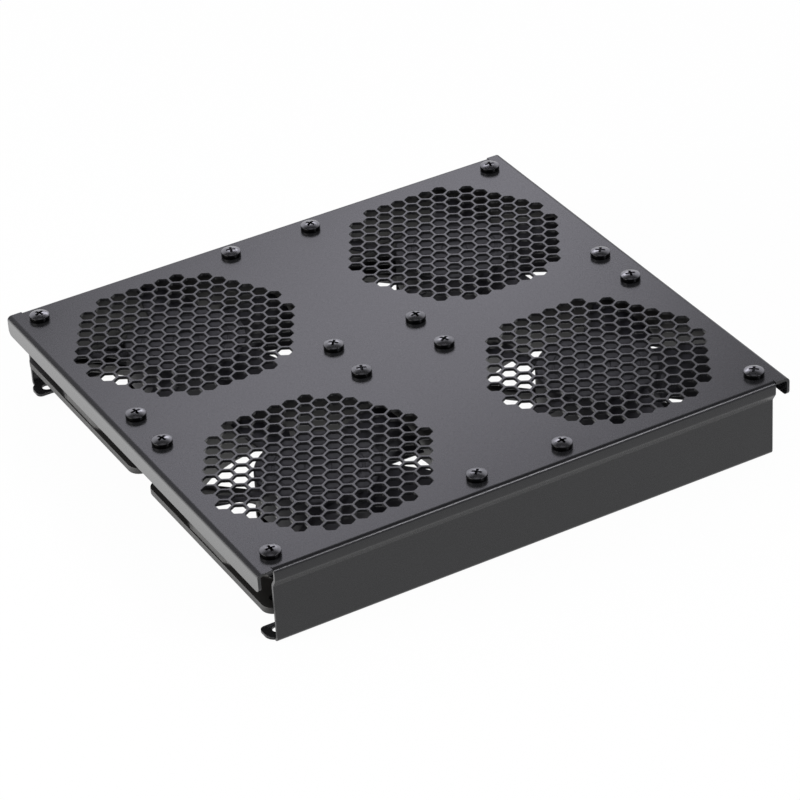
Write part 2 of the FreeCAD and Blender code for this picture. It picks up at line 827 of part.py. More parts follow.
def washer():
    return ring(washer_diameter / 2, screw_diameter / 2 + thread_clearance, 0, washer_thickness)


def nut(across_flats, height, hole_diameter):
    corner = across_flats / math.sqrt(3)
    points = [
        Vector(corner * math.cos(k * math.pi / 3), corner * math.sin(k * math.pi / 3), 0)
        for k in range(6)
    ]
    body = prism(points, Vector(0, 0, height))
    return body.cut(cylinder(hole_diameter / 2, -1, height + 1))


def screw_places():
    places = []
    for side_x in (-1, 1):
        for side_y in (-1, 1):
            for x in (-fan_hole_offset, fan_hole_offset):
                for y in (-fan_hole_offset, fan_hole_offset):
                    places.append((side_x * fan_pitch_x / 2 + x, side_y * fan_pitch_y / 2 + y))
    return places


def group(shape, low_z, turn_step=0.0):
    """A copy of one fastener at each of the fan screws."""
    copies = []
    for index, (x, y) in enumerate(screw_places()):
        copy = shape.copy()
        copy.rotate(Vector(0, 0, 0), Vector(0, 0, 1), turn_step * index)
        copy.translate(Vector(x, y, low_z))
        copies.append(copy)
    return Part.makeCompound(copies)


def power_inlet():
    """Snap-in three-pin appliance inlet, its socket open to the back."""
    outside = lower_face_y
    rim = box(
        (-inlet_width / 2 - inlet_rim, outside, inlet_centre_height - inlet_height / 2 - inlet_rim),
        (inlet_width / 2 + inlet_rim, outside + inlet_rim_thickness,
         inlet_centre_height + inlet_height / 2 + inlet_rim),
    )
    edges = [
        edge for edge in rim.Edges
        if abs(edge.CenterOfMass.y - outside - inlet_rim_thickness) < 1e-6
    ]
    rim = rim.makeFillet(inlet_rim_radius, edges)
    body = box(
        (-inlet_width / 2, inlet_back_y, inlet_centre_height - inlet_height / 2),
        (inlet_width / 2, outside + inlet_rim_thickness / 2, inlet_centre_height + inlet_height / 2),
    )
    snaps = []
    for side in (-1, 1):
        start = inlet_centre_height + side * (inlet_height / 2 - snap_overlap)
        tip = inlet_centre_height + side * (inlet_height / 2 + inlet_panel_clearance + snap_height)
        near = outside - sheet - snap_gap
        snaps.append(prism([
            Vector(-snap_width / 2, near, start),
            Vector(-snap_width / 2, near, tip),
            Vector(-snap_width / 2, near - snap_length, start),
        ], Vector(snap_width, 0, 0)))
    shell = body.fuse([rim] + snaps)
    depth = inlet_depth + inlet_rim_thickness - inlet_back
    outline = inlet_outline(inlet_width - 2 * inlet_wall, inlet_height - 2 * inlet_wall,
                            outside + inlet_rim_thickness - depth, inlet_chamfer)
    shell = shell.cut(prism(outline, Vector(0, depth + 1, 0)))
    return shell.cut(pin_solids(pin_fit))


def pin_solids(clearance):
    solids = []
    for place, offset in ((-1, -pin_offset), (0, pin_offset), (1, -pin_offset)):
        x = place * pin_spacing
        z = inlet_centre_height + offset
        solids.append(box(
            (x - pin_width / 2 - clearance, inlet_back_y - pin_tail, z - pin_height / 2 - clearance),
            (x + pin_width / 2 + clearance, lower_face_y + inlet_rim_thickness - pin_below_rim,
             z + pin_height / 2 + clearance),
        ))
    return solids


def inlet_boot(lanes):
    """Insulating boot over the back of the inlet, where the leads come in."""
    half = inlet_width / 2
    low = inlet_centre_height - inlet_height / 2
    high = inlet_centre_height + inlet_height / 2
    body = box((-half, boot_front_y, low), (half, inlet_back_y, high))
    edges = [edge for edge in body.Edges if abs(edge.CenterOfMass.y - boot_front_y) < 1e-6]
    body = body.makeFillet(boot_wall, edges)
    cavity = box((-half + boot_wall, boot_front_y + boot_wall, low + boot_wall),
                 (half - boot_wall, inlet_back_y + 1, high - boot_wall))
    body = body.cut(cavity)
    for lane in lanes:
        body = body.cut(Part.makeCylinder(lead_diameter / 2 + slot_clearance, boot_wall + 2 * bore_overrun,
                                          Vector(lane, boot_front_y - bore_overrun, lead_entry_z),
                                          Vector(0, 1, 0)))
    return body.cut(Part.makeCylinder(earth_lead_diameter / 2 + slot_clearance,
                                      boot_wall + 2 * bore_overrun,
                                      Vector(earth_exit_x, boot_front_y - bore_overrun, earth_exit_z),
                                      Vector(0, 1, 0)))


def earth_stud():
    """Stud welded to the inside of the rear apron."""
    inside = lower_face_y - sheet
    return Part.makeCylinder(stud_diameter / 2, stud_length,
                             Vector(stud_from_centre, inside - stud_length, stud_height), Vector(0, 1, 0))


def earth_nut():
    body = nut(nut_across_flats, nut_height, stud_diameter + 2 * thread_clearance)
    body.rotate(Vector(0, 0, 0), Vector(1, 0, 0), 90)
    inside = lower_face_y - sheet
    body.translate(Vector(stud_from_centre, inside - ring_lug_thickness, stud_height))
    return body


def earth_lead():
    """Earth lead from the boot to a ring lug that the nut clamps on the stud."""
    inside = lower_face_y - sheet
    lug_front = inside - ring_lug_thickness
    lug = Part.makeCylinder(ring_lug_radius, ring_lug_thickness,
                            Vector(stud_from_centre, lug_front, stud_height), Vector(0, 1, 0))
    tail_start = stud_from_centre + stud_diameter / 2 + ring_lug_tail_gap
    tail_end = stud_from_centre + ring_lug_radius + ring_lug_tail
    half = earth_lead_diameter / 2
    tail = box((tail_start, lug_front, stud_height - half), (tail_end, inside, stud_height + half))
    hole = Part.makeCylinder(stud_diameter / 2 + thread_clearance, 2 * ring_lug_thickness,
                             Vector(stud_from_centre, lug_front - ring_lug_thickness / 2, stud_height),
                             Vector(0, 1, 0))
    lug = lug.fuse(tail).cut(hole)
    lane = tail_end - half
    turn_y = boot_front_y - earth_lead_loop
    points = [
        Vector(earth_exit_x, boot_front_y + boot_wall + boot_entry_depth, earth_exit_z),
        Vector(earth_exit_x, turn_y, earth_exit_z),
        Vector(lane, turn_y, stud_height),
        Vector(lane, lug_front + ring_lug_thickness / 2, stud_height),
    ]
    wire = tube(points, [earth_bend_radius, earth_bend_radius], earth_lead_diameter)
    return lug.fuse(wire)


def build():
    parts = {"tray": tray()}
    frame = fan_frame()
    rotor = impeller()
    ring_shape = rotor_ring()
    shaft_shape = shaft()
    clip_shape = retaining_clip()
    bearing_pair = bearings()
    core = stator_core()
    coils = stator_coils()
    tabs = terminals()
    plug_shape = plug()
    cap = bearing_cap()
    wire = motor_wire()
    lanes = []
    caps = []
    wires = []
    for name in fan_places:
        parts["frame_" + name] = placed(frame, name)
        side_x, side_y = fan_places[name][:2]
        turned = rotor.copy()
        turned.rotate(Vector(0, 0, 0), Vector(0, 0, 1), rest_angles[name])
        turned.translate(Vector(side_x * fan_pitch_x / 2, side_y * fan_pitch_y / 2, 0))
        parts["impeller_" + name] = turned
        parts["rotor_ring_" + name] = placed(ring_shape, name)
        parts["shaft_" + name] = placed(shaft_shape, name)
        parts["retaining_clip_" + name] = placed(clip_shape, name)
        parts["bearings_" + name] = placed(bearing_pair, name)
        parts["stator_core_" + name] = placed(core, name)
        parts["stator_coils_" + name] = placed(coils, name)
        parts["terminals_" + name] = placed(tabs, name)
        parts["plug_" + name] = placed(plug_shape, name)
        parts["lead_" + name], lane = lead(name)
        lanes.append(lane)
        caps.append(placed(cap, name))
        wires.append(placed(wire, name))
    parts["bearing_caps"] = Part.makeCompound(caps)
    parts["motor_wires"] = Part.makeCompound(wires)
    parts["fan_screws"] = group(fan_screw(), tray_height, screw_turn_step)
    under_flange = fan_top - frame_flange
    parts["fan_washers"] = group(washer(), under_flange - washer_thickness)
    parts["fan_nuts"] = group(nut(nut_across_flats, nut_height, screw_diameter + 2 * thread_clearance),
                              under_flange - washer_thickness - nut_height, nut_turn_step)
    parts["lead_clip"] = lead_clip(lanes)
    parts["power_inlet"] = power_inlet()
    parts["inlet_pins"] = Part.makeCompound(pin_solids(0.0))
    parts["inlet_boot"] = inlet_boot(lanes)
    parts["earth_stud"] = earth_stud()
    parts["earth_nut"] = earth_nut()
    parts["earth_lead"] = earth_lead()
    return parts


os.makedirs("parts", exist_ok=True)
for part_name, part_shape in build().items():
    part_shape.exportStep("parts/" + part_name + ".step")
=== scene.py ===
from itertools import product
from math import acos, asin, cos, exp, pi, radians, sin, sqrt, tan, tau

import bmesh
import bpy
from mathutils import Matrix, Quaternion, Vector, geometry


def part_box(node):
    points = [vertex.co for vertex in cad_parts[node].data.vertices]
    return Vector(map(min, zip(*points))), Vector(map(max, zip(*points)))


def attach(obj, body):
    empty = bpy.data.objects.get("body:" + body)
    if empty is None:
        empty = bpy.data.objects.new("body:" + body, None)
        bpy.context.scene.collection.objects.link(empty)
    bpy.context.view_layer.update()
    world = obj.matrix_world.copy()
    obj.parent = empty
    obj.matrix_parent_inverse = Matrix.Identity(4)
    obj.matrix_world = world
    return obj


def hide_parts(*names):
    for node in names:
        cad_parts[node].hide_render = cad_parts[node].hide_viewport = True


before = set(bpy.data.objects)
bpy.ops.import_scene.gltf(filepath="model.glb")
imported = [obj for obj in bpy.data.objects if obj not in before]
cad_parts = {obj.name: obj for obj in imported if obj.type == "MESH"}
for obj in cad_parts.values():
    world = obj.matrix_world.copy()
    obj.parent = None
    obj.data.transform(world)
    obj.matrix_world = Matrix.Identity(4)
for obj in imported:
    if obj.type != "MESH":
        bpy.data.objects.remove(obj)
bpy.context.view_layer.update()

# The view. The camera stands to the front left and looks down at 33 degrees, held with a slight
# roll, through a long lens, so that the tray nearly fills the square picture.
view_azimuth = radians(-28.04)
view_elevation = radians(32.93)
view_roll = radians(-3.53)
view_distance = 1.6734
view_target = Vector((-0.0195, -0.0443, 0.0415))
lens_length = 162.6
sensor_width = 36.0
clip_range = (0.05, 50.0)


def in_scene(name, data):
    """A new object, linked to the scene."""
    made = bpy.data.objects.new(name, data)
    bpy.context.scene.collection.objects.link(made)
    return made


back = Vector((
    sin(view_azimuth) * cos(view_elevation),
    -cos(view_azimuth) * cos(view_elevation),
    sin(view_elevation),
))
level_right = Vector((cos(view_azimuth), sin(view_azimuth), 0.0))
level_up = back.cross(level_right)
right = cos(view_roll) * level_right + sin(view_roll) * level_up
up = back.cross(right)
stand = view_target + back * view_distance
camera_data = bpy.data.cameras.new("camera")
camera_data.lens = lens_length
camera_data.sensor_width = sensor_width
camera_data.clip_start, camera_data.clip_end = clip_range
camera = in_scene("camera", camera_data)
camera.matrix_world = Matrix((*zip(right, up, back, stand), (0.0, 0.0, 0.0, 1.0)))
bpy.context.scene.camera = camera

# The table: a wide white sweep. It shows white to the camera and in the gloss of the coat, and keeps a
# faint shadow under the tray. Along the tray's left side it carries a painted reflection for the lip.
floor_half = 3.0
floor_white = (0.94, 0.94, 0.94, 1)
plain_white = (1, 1, 1, 1)
floor_glow = 0.965
painted_sheen_left = (-0.165, -0.145)
painted_sheen_front = (-0.14, -0.09)
painted_sheen_gain = 1.45


def feed(tree, node, inputs):
    """Gives inputs of a node a value, or links them to a socket or to a node's first output."""
    for name, value in inputs.items():
        if isinstance(value, bpy.types.Node):
            value = value.outputs[0]
        if isinstance(value, bpy.types.NodeSocket):
            tree.links.new(value, node.inputs[name])
        else:
            node.inputs[name].default_value = value


def add_node(tree, kind, inputs=None, **settings):
    """A new shader node with its settings and its inputs."""
    node = tree.nodes.new("ShaderNode" + kind)
    for name, value in settings.items():
        setattr(node, name, value)
    feed(tree, node, inputs or {})
    return node


def times(tree, value, factor):
    return add_node(tree, "Math", {0: value, 1: factor}, operation="MULTIPLY")


def ranged(tree, value, start, end, low=0.0, high=1.0):
    """A value carried from one range to another, and held at its ends."""
    return add_node(tree, "MapRange", {"Value": value, "From Min": start, "From Max": end,
                                       "To Min": low, "To Max": high})


def seen_share(tree, rays, strength=1.0):
    """A factor that is a strength for the named kinds of rays, and nought for the others."""
    path = add_node(tree, "LightPath")
    share = path.outputs[rays[0]]
    for ray in rays[1:]:
        share = add_node(tree, "Math", {0: share, 1: path.outputs[ray]}, operation="MAXIMUM")
    return times(tree, share, strength)


floor_corners = [(x * floor_half, y * floor_half, 0) for x, y in ((-1, -1), (1, -1), (1, 1), (-1, 1))]
floor_mesh = bpy.data.meshes.new("floor")
floor_mesh.from_pydata(floor_corners, [], [(0, 1, 2, 3)])
floor = in_scene("floor", floor_mesh)
floor_paint = bpy.data.materials.new("floor_paint")
floor_paint.use_nodes = True
floor_tree = floor_paint.node_tree
floor_tree.nodes.clear()
across = add_node(floor_tree, "SeparateXYZ", {0: add_node(floor_tree, "TexCoord").outputs["Object"]})
# Painted reflection: to glossy rays only, the floor glows brighter than white along the tray's left side,
# fading out towards the front, so that the left lip mirrors a bright strip.
painted_side_sheen = times(floor_tree, ranged(floor_tree, across.outputs["X"], *painted_sheen_left, painted_sheen_gain, 0.0),
                   ranged(floor_tree, across.outputs["Y"], *painted_sheen_front))
sheen = add_node(floor_tree, "Math", {0: painted_side_sheen, 1: seen_share(floor_tree, ["Is Glossy Ray"]), 2: 1.0},
                 operation="MULTIPLY_ADD")
matt = add_node(floor_tree, "BsdfDiffuse", {"Color": floor_white})
glow = add_node(floor_tree, "Emission", {"Color": plain_white, "Strength": sheen})
floor_seen = seen_share(floor_tree, ["Is Camera Ray", "Is Glossy Ray", "Is Transmission Ray"], floor_glow)
blend = add_node(floor_tree, "MixShader", {0: floor_seen, 1: matt, 2: glow})
add_node(floor_tree, "OutputMaterial", {"Surface": blend})
floor_mesh.materials.append(floor_paint)

# The light: a pale room. What glossy surfaces mirror of it is bright up to 40 degrees, most of all
# at the back, dark above that and pale straight overhead. One lamp stands at the back, one at the
# front for the bends, and one low at the left.
room_light = 0.55
room_tint = (0.97, 0.98, 1.0, 1)
band_heights = ((0.0, 0.85), (0.30, 0.95), (0.64, 1.0), (0.82, 0.12), (0.94, 0.10), (1.0, 0.8))
band_front = (0.47, 0.88, 0.0)
band_reach = (0.45, 0.88)
band_levels = (0.45, 1.0)
band_tint = (0.93, 0.92, 1.0, 1)
lamps = {
    "lamp_back": ((0.488, 0.98, 0.738), (0.60, 0.29), 34.0, 1.38, (0.90, 0.88, 1.0)),
    "lamp_front": ((0.63, -1.12, 0.95), (0.5, 0.16), 0.0, 9.0, (0.95, 0.95, 1.0)),
    "lamp_left": ((-1.3, 0.1, 0.35), (1.0, 0.5), 0.0, 17.0, (1.0, 0.98, 0.94)),
}


def ramp(tree, value, stops):
    """A colour that follows a value, from stops of (value, colour)."""
    node = add_node(tree, "ValToRGB", {"Fac": value})
    elements = node.color_ramp.elements
    while len(elements) < len(stops):
        elements.new(0.5)
    for element, (position, colour) in zip(elements, stops):
        element.position = position
        element.color = colour
    return node


world = bpy.data.worlds.new("room")
world.use_nodes = True
bpy.context.scene.world = world
room = world.node_tree
room.nodes.clear()
aim = add_node(room, "TexCoord").outputs["Generated"]
height = add_node(room, "SeparateXYZ", {0: aim}).outputs["Z"]
band = ramp(room, height, [(position, (level, level, level, 1)) for position, level in band_heights])
towards_back = add_node(room, "VectorMath", {0: aim, 1: band_front}, operation="DOT_PRODUCT")
side_share = ranged(room, towards_back.outputs["Value"], *band_reach, *band_levels)
soft = add_node(room, "Background", {"Color": room_tint, "Strength": room_light})
mirrored = add_node(room, "Background", {"Color": band_tint, "Strength": times(room, band, side_share)})
gloss_mix = add_node(room, "MixShader", {0: seen_share(room, ["Is Glossy Ray"]), 1: soft, 2: mirrored})
white = add_node(room, "Background", {"Color": plain_white})
room_seen = seen_share(room, ["Is Camera Ray", "Is Transmission Ray"])
room_mix = add_node(room, "MixShader", {0: room_seen, 1: gloss_mix, 2: white})
add_node(room, "OutputWorld", {"Surface": room_mix})
for name, (place, size, roll, power, tint) in lamps.items():
    lamp_data = bpy.data.lights.new(name, "AREA")
    lamp_data.shape = "RECTANGLE"
    lamp_data.size, lamp_data.size_y = size
    lamp_data.energy = power
    lamp_data.color = tint
    lamp = in_scene(name, lamp_data)
    lamp.location = place
    lamp.rotation_mode = "QUATERNION"
    lamp.rotation_quaternion = ((-Vector(place)).to_track_quat("-Z", "Y")
                                @ Quaternion((0, 0, 1), radians(roll)))
bpy.context.scene.view_settings.view_transform = "Standard"

# The tray: one steel sheet, punched with four honeycombs, then folded: two short side lips, and a
# front and a rear apron that are joggled inwards and end in return flanges. Black powder coat.
MM = 0.001


def span(node, axis):
    """Where a CAD node starts and ends along an axis, in millimetres."""
    return [getattr(corner, axis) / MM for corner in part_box(node)]


half_width = span("tray", "x")[1]
half_depth = span("tray", "y")[1]
tray_top = span("tray", "z")[1]
sheet = 1.5
inner_bend = 0.8
outer_bend = inner_bend + sheet
bend_support = 0.3
lip_depth = 10.0
lip_corner = 3.0
flat_margin = 0.01
lip_end = half_depth - 0.5
apron_half = half_width - 8.0
relief_width = 0.3
relief_depth = 0.5
strip_height = 6.2
joggle_height = 4.0
joggle_inset = 2.5
inlet_rim = 2.0
inlet_clearance = 0.15
flange_width = 13.0
flange_overhang = 2.6
flange_bend_corner = 5.0
flange_free_corner = 2.5
flange_lap = 1.0
fixing_radius = 2.75
fixing_from_face = 8.0
fixing_from_end = 7.1
cell_pitch = 8.0
cell_web = 1.25
cell_corner = 0.35
patch_radius = 54.0
patch_rows = range(-8, 9)
punched_edge = 0.16
cut_edge = 0.2
cut_edge_angle = 60
fan_centre = Vector([sum(span("frame_back_right", axis)) / 2 for axis in "xy"])
fan_sides = list(product((-1, 1), repeat=2))
screw_offset = 52.5
screw_corners = list(product((-screw_offset, screw_offset), repeat=2))
screw_hole_radius = 2.25
hole_steps = 24
fixing_steps = 32
coat_colour = (0.012, 0.0121, 0.0132)
coat_rough = 0.27
coat_gloss = 0.38
noise_low = 0.3
noise_high = 0.7
broad_grain = 40
relief_height = 0.1


def bent_line(corners, radii, arc_step=9):
    """A line through the corner points, with each inner corner turned at its radius."""
    corners = [Vector(corner) for corner in corners]
    line = [corners[0]]
    for before, corner, after, radius in zip(corners, corners[1:], corners[2:], radii):
        came = (before - corner).normalized()
        goes = (after - corner).normalized()
        half = came.angle(goes) / 2
        turn = pi - 2 * half
        centre = corner + (came + goes).normalized() * (radius / sin(half))
        arm_in = corner + came * (radius / tan(half)) - centre
        arm_out = corner + goes * (radius / tan(half)) - centre
        steps = max(2, round(turn / radians(arc_step)))
        for step in range(steps + 1):
            part = turn * step / steps
            arm = (arm_in * sin(turn - part) + arm_out * sin(part)) / sin(turn)
            line.append(centre + arm)
    line.append(corners[-1])
    return line


def sheet_sides(middle):
    """Outer and inner line of a folded sheet from the corners of its middle line."""
    sides = []
    middle = [Vector(point) for point in middle]
    runs = [(b - a).normalized() for a, b in zip(middle, middle[1:])]
    for sign in (1, -1):
        normals = [Vector((-run.y, run.x)) * (sign * sheet / 2) for run in runs]
        corners = [middle[0] + normals[0]]
        radii = []
        for point, n1, n2, r1, r2 in zip(middle[1:], normals, normals[1:], runs, runs[1:]):
            corners.append(point + (n1 + n2) * ((sheet / 2) ** 2 / ((sheet / 2) ** 2 + n1.dot(n2))))
            turn = r1.x * r2.y - r1.y * r2.x
            radii.append(inner_bend if turn * sign > 0 else outer_bend)
        corners.append(middle[-1] + normals[-1])
        sides.append(bent_line(corners, radii))
    return sides


def sweep_sheet(bm, stations, window=None):
    """Skins a folded sheet between stations of (outer line, inner line), with its cut ends. A
    window (span, first, last) is left open in one span, and its four cut edges are closed."""
    rings = [[[bm.verts.new(p) for p in line] for line in station] for station in stations]
    for number, ((outer_a, inner_a), (outer_b, inner_b)) in enumerate(zip(rings, rings[1:])):
        open_runs = range(window[1], window[2]) if window and window[0] == number else range(0)
        for i in range(len(outer_a) - 1):
            if i in open_runs:
                bm.faces.new((outer_a[i], inner_a[i], inner_a[i + 1], outer_a[i + 1]))
                bm.faces.new((outer_b[i + 1], inner_b[i + 1], inner_b[i], outer_b[i]))
                continue
            bm.faces.new((outer_a[i], outer_a[i + 1], outer_b[i + 1], outer_b[i]))
            bm.faces.new((inner_a[i + 1], inner_a[i], inner_b[i], inner_b[i + 1]))
        if open_runs:
            for i in (window[1], window[2]):
                bm.faces.new((outer_a[i], outer_b[i], inner_b[i], inner_a[i]))
        bm.faces.new((outer_a[-1], inner_a[-1], inner_b[-1], outer_b[-1]))
    for outer, inner in (rings[0], rings[-1]):
        for i in range(len(outer) - 1):
            bm.faces.new((outer[i], inner[i], inner[i + 1], outer[i + 1]))


def arc(x, y, radius, start, end, steps):
    """Points on an arc, its angles in radians."""
    angles = [start + (end - start) * step / steps for step in range(steps + 1)]
    return [Vector((x + radius * cos(angle), y + radius * sin(angle))) for angle in angles]


def circle(x, y, radius, count):
    return arc(x, y, radius, 0, tau, count)[:-1]


def cell(x, y):
    """A hexagon with flats to the left and right and slightly rounded corners."""
    reach = (cell_pitch - cell_web) / sqrt(3)
    corners = [Vector((x + reach * sin(tau * k / 6), y + reach * cos(tau * k / 6)))
               for k in range(6)]
    points = []
    for before, corner, after in zip(corners[-1:] + corners, corners, corners[1:] + corners[:1]):
        points.append(corner + (before - corner).normalized() * cell_corner)
        points.append(corner + (after - corner).normalized() * cell_corner)
    return points


def loop_at(bm, points, z):
    """A loop of vertices at one height."""
    return [bm.verts.new((p[0], p[1], z)) for p in points]


def loft(bm, loops, closed=False, capped=False):
    """Quads between loops of vertices that have equal counts, closed to a ring or capped at both
    ends if asked."""
    for upper, lower in zip(loops, loops[1:] + loops[:1] if closed else loops[1:]):
        for i in range(len(upper)):
            j = (i + 1) % len(upper)
            bm.faces.new((upper[i], upper[j], lower[j], lower[i]))
    if capped:
        bm.faces.new(loops[0])
        bm.faces.new(list(reversed(loops[-1])))


def fill_flat(bm, outer, inner=()):
    """Fills the flat region between an outer loop of vertices and the loops inside it."""
    verts = []
    owner = []
    edges = []
    for number, loop in enumerate([outer, *inner]):
        first = len(verts)
        verts += loop
        owner += [number] * len(loop)
        edges += [(first + i, first + (i + 1) % len(loop)) for i in range(len(loop))]
    found = geometry.delaunay_2d_cdt([vert.co.xy for vert in verts], edges, [], 1, 1e-6)
    source = [min(ids) for ids in found[3]]
    for face in found[2]:
        ids = [source[i] for i in face]
        if owner[ids[0]] > 0 and len({owner[i] for i in ids}) == 1:
            continue
        bm.faces.new([verts[i] for i in ids])


def flat_sheet(bm, outline, holes, low, high, rim):
    """A flat plate with holes, each hole's two rims broken by a width. The outline stays open."""
    above = loop_at(bm, outline, high)
    below = loop_at(bm, outline, low)
    rims_above = []
    rims_below = []
    for centre, points in holes:
        grow = 1 + rim / (points[0] - centre).length
        wide = [centre + (point - centre) * grow for point in points]
        rims_above.append(loop_at(bm, wide, high))
        rims_below.append(loop_at(bm, wide, low))
        upper = loop_at(bm, points, high - rim)
        lower = loop_at(bm, points, low + rim)
        loft(bm, [rims_above[-1], upper, lower, rims_below[-1]])
    fill_flat(bm, above, rims_above)
    fill_flat(bm, below, rims_below)
    return above, below


def close_edges(bm, above, below, ids):
    """Cut edges of a flat plate between neighbouring outline points."""
    for a, b in zip(ids, ids[1:]):
        bm.faces.new((above[a], below[a], below[b], above[b]))


tray_bm = bmesh.new()
flat_x = half_width - outer_bend - bend_support
flat_y = half_depth - outer_bend - bend_support
relief_y = half_depth - outer_bend - relief_depth
relief_x = apron_half + relief_width
quarter = [(flat_x, lip_end), (relief_x, lip_end), (relief_x, relief_y), (apron_half, relief_y),
           (apron_half, flat_y)]
outline = quarter + [(-x, y) for x, y in reversed(quarter)]
outline += [(-x, -y) for x, y in outline]
holes = []
for side_x, side_y in fan_sides:
    centre = Vector((side_x * fan_centre.x, side_y * fan_centre.y))
    for row, column in product(patch_rows, patch_rows):
        place = Vector(((column + 0.5 * (row % 2)) * cell_pitch, row * cell_pitch * sqrt(3) / 2))
        if place.length <= patch_radius:
            holes.append((centre + place, cell(*(centre + place))))
    for corner in screw_corners:
        middle = centre + Vector(corner)
        holes.append((middle, circle(*middle, screw_hole_radius, hole_steps)))
above, below = flat_sheet(tray_bm, outline, holes, tray_top - sheet, tray_top, punched_edge)
for corner in range(4):
    first = corner * len(quarter)
    close_edges(tray_bm, above, below, range(first, first + len(quarter)))

lip_sides = sheet_sides([(flat_x, tray_top - sheet / 2), (half_width - sheet / 2, tray_top - sheet / 2),
                         (half_width - sheet / 2, tray_top - lip_depth)])
lip_stations = [lip_end - lip_corner * (1 - cos(radians(a))) for a in range(0, 91, 15)]
lip_stations += [-y for y in reversed(lip_stations)]
for side in (-1, 1):
    stations = []
    for y in lip_stations:
        inside = max(0.0, lip_corner - (lip_end - abs(y)))
        lift = lip_corner - sqrt(max(0.0, lip_corner ** 2 - inside ** 2))
        stations.append([[(side * p.x, y, p.y + (lift if p.y < tray_top - outer_bend - flat_margin else 0))
                          for p in line] for line in lip_sides])
    sweep_sheet(tray_bm, stations)

upper_y = half_depth - sheet / 2
lower_y = half_depth - joggle_inset - sheet / 2
foot_y = half_depth - joggle_inset - outer_bend
apron_sides = sheet_sides([
    (flat_y, tray_top - sheet / 2),
    (upper_y, tray_top - sheet / 2),
    (upper_y, tray_top - strip_height),
    (lower_y, tray_top - strip_height - joggle_height),
    (lower_y, sheet / 2),
    (foot_y - flange_lap, sheet / 2),
])
window_half = span("power_inlet", "x")[1] - inlet_rim + inlet_clearance
window_low = span("power_inlet", "z")[0] + inlet_rim - inlet_clearance
window_high = span("power_inlet", "z")[1] - inlet_rim + inlet_clearance
rear_sides = []
for line in apron_sides:
    first_open = max(i for i, p in enumerate(line) if p.y > window_high) + 1
    window_points = [Vector((line[first_open - 1].x, z)) for z in (window_high, window_low)]
    rear_sides.append(line[:first_open] + window_points + line[first_open:])
flange_half = apron_half + flange_overhang
flange_in = half_depth - joggle_inset - flange_width
bend_turn = acos(1 - flange_overhang / flange_bend_corner)
flange_outline = [(apron_half, foot_y - flange_lap)]
flange_outline += arc(flange_half - flange_bend_corner, foot_y - flange_bend_corner, flange_bend_corner,
                      bend_turn, 0, 6)
flange_outline += bent_line([(flange_half, foot_y), (flange_half, flange_in), (0, flange_in)],
                            [flange_free_corner])[1:-1]
flange_outline += [(-x, y) for x, y in reversed(flange_outline)]
for side, lines, ends, window in ((-1, apron_sides, (-apron_half, apron_half), None),
                                  (1, rear_sides, (-apron_half, -window_half, window_half, apron_half),
                                   (1, first_open, first_open + 1))):
    sweep_sheet(tray_bm, [[[(x, side * p.x, p.y) for p in line] for line in lines] for x in ends], window)
    fixing_y = side * (half_depth - joggle_inset - fixing_from_face)
    flange_holes = [(Vector((x, fixing_y)), circle(x, fixing_y, fixing_radius, fixing_steps))
                    for x in (-flange_half + fixing_from_end, flange_half - fixing_from_end)]
    side_outline = [(x, side * y) for x, y in flange_outline]
    above, below = flat_sheet(tray_bm, side_outline, flange_holes, 0.0, sheet, punched_edge)
    close_edges(tray_bm, above, below, range(len(flange_outline)))

bmesh.ops.remove_doubles(tray_bm, verts=tray_bm.verts, dist=1e-4)
bmesh.ops.recalc_face_normals(tray_bm, faces=tray_bm.faces)
weight = tray_bm.edges.layers.float.new("bevel_weight_edge")
for edge in tray_bm.edges:
    if edge.is_manifold and edge.calc_face_angle() > radians(cut_edge_angle):
        middle = (edge.verts[0].co + edge.verts[1].co) / 2
        near_patch = Vector((abs(middle.x), abs(middle.y))) - fan_centre
        if near_patch.length > patch_radius + cell_pitch or middle.z < tray_top - lip_depth:
            edge[weight] = 1.0


def mesh_of(bm, name="shape"):
    """The shape as a mesh."""
    mesh = bpy.data.meshes.new(name)
    bm.to_mesh(mesh)
    bm.free()
    return mesh


def piece_from(shape, name, paint, smooth, places=(Matrix(),)):
    """A finished piece from a mesh in millimetres that stands at each of the places, smooth but for
    edges sharper than an angle in degrees."""
    group = bmesh.new()
    for place in places:
        first = len(group.verts)
        group.from_mesh(shape)
        group.verts.ensure_lookup_table()
        bmesh.ops.transform(group, matrix=Matrix.Scale(MM, 4) @ place, verts=group.verts[first:])
    mesh = mesh_of(group, name)
    mesh.shade_smooth()
    mesh.set_sharp_from_angle(angle=radians(smooth))
    mesh.materials.append(paint)
    return in_scene(name, mesh)


def break_edges(piece, width, limit=None):
    """Rounds the sharp edges of a piece a little, by weight or by angle."""
    bevel = piece.modifiers.new("broken_edges", "BEVEL")
    bevel.width = width * MM
    bevel.segments = 2
    bevel.limit_method = "WEIGHT" if limit is None else "ANGLE"
    if limit is not None:
        bevel.angle_limit = radians(limit)
    bevel.use_clamp_overlap = True


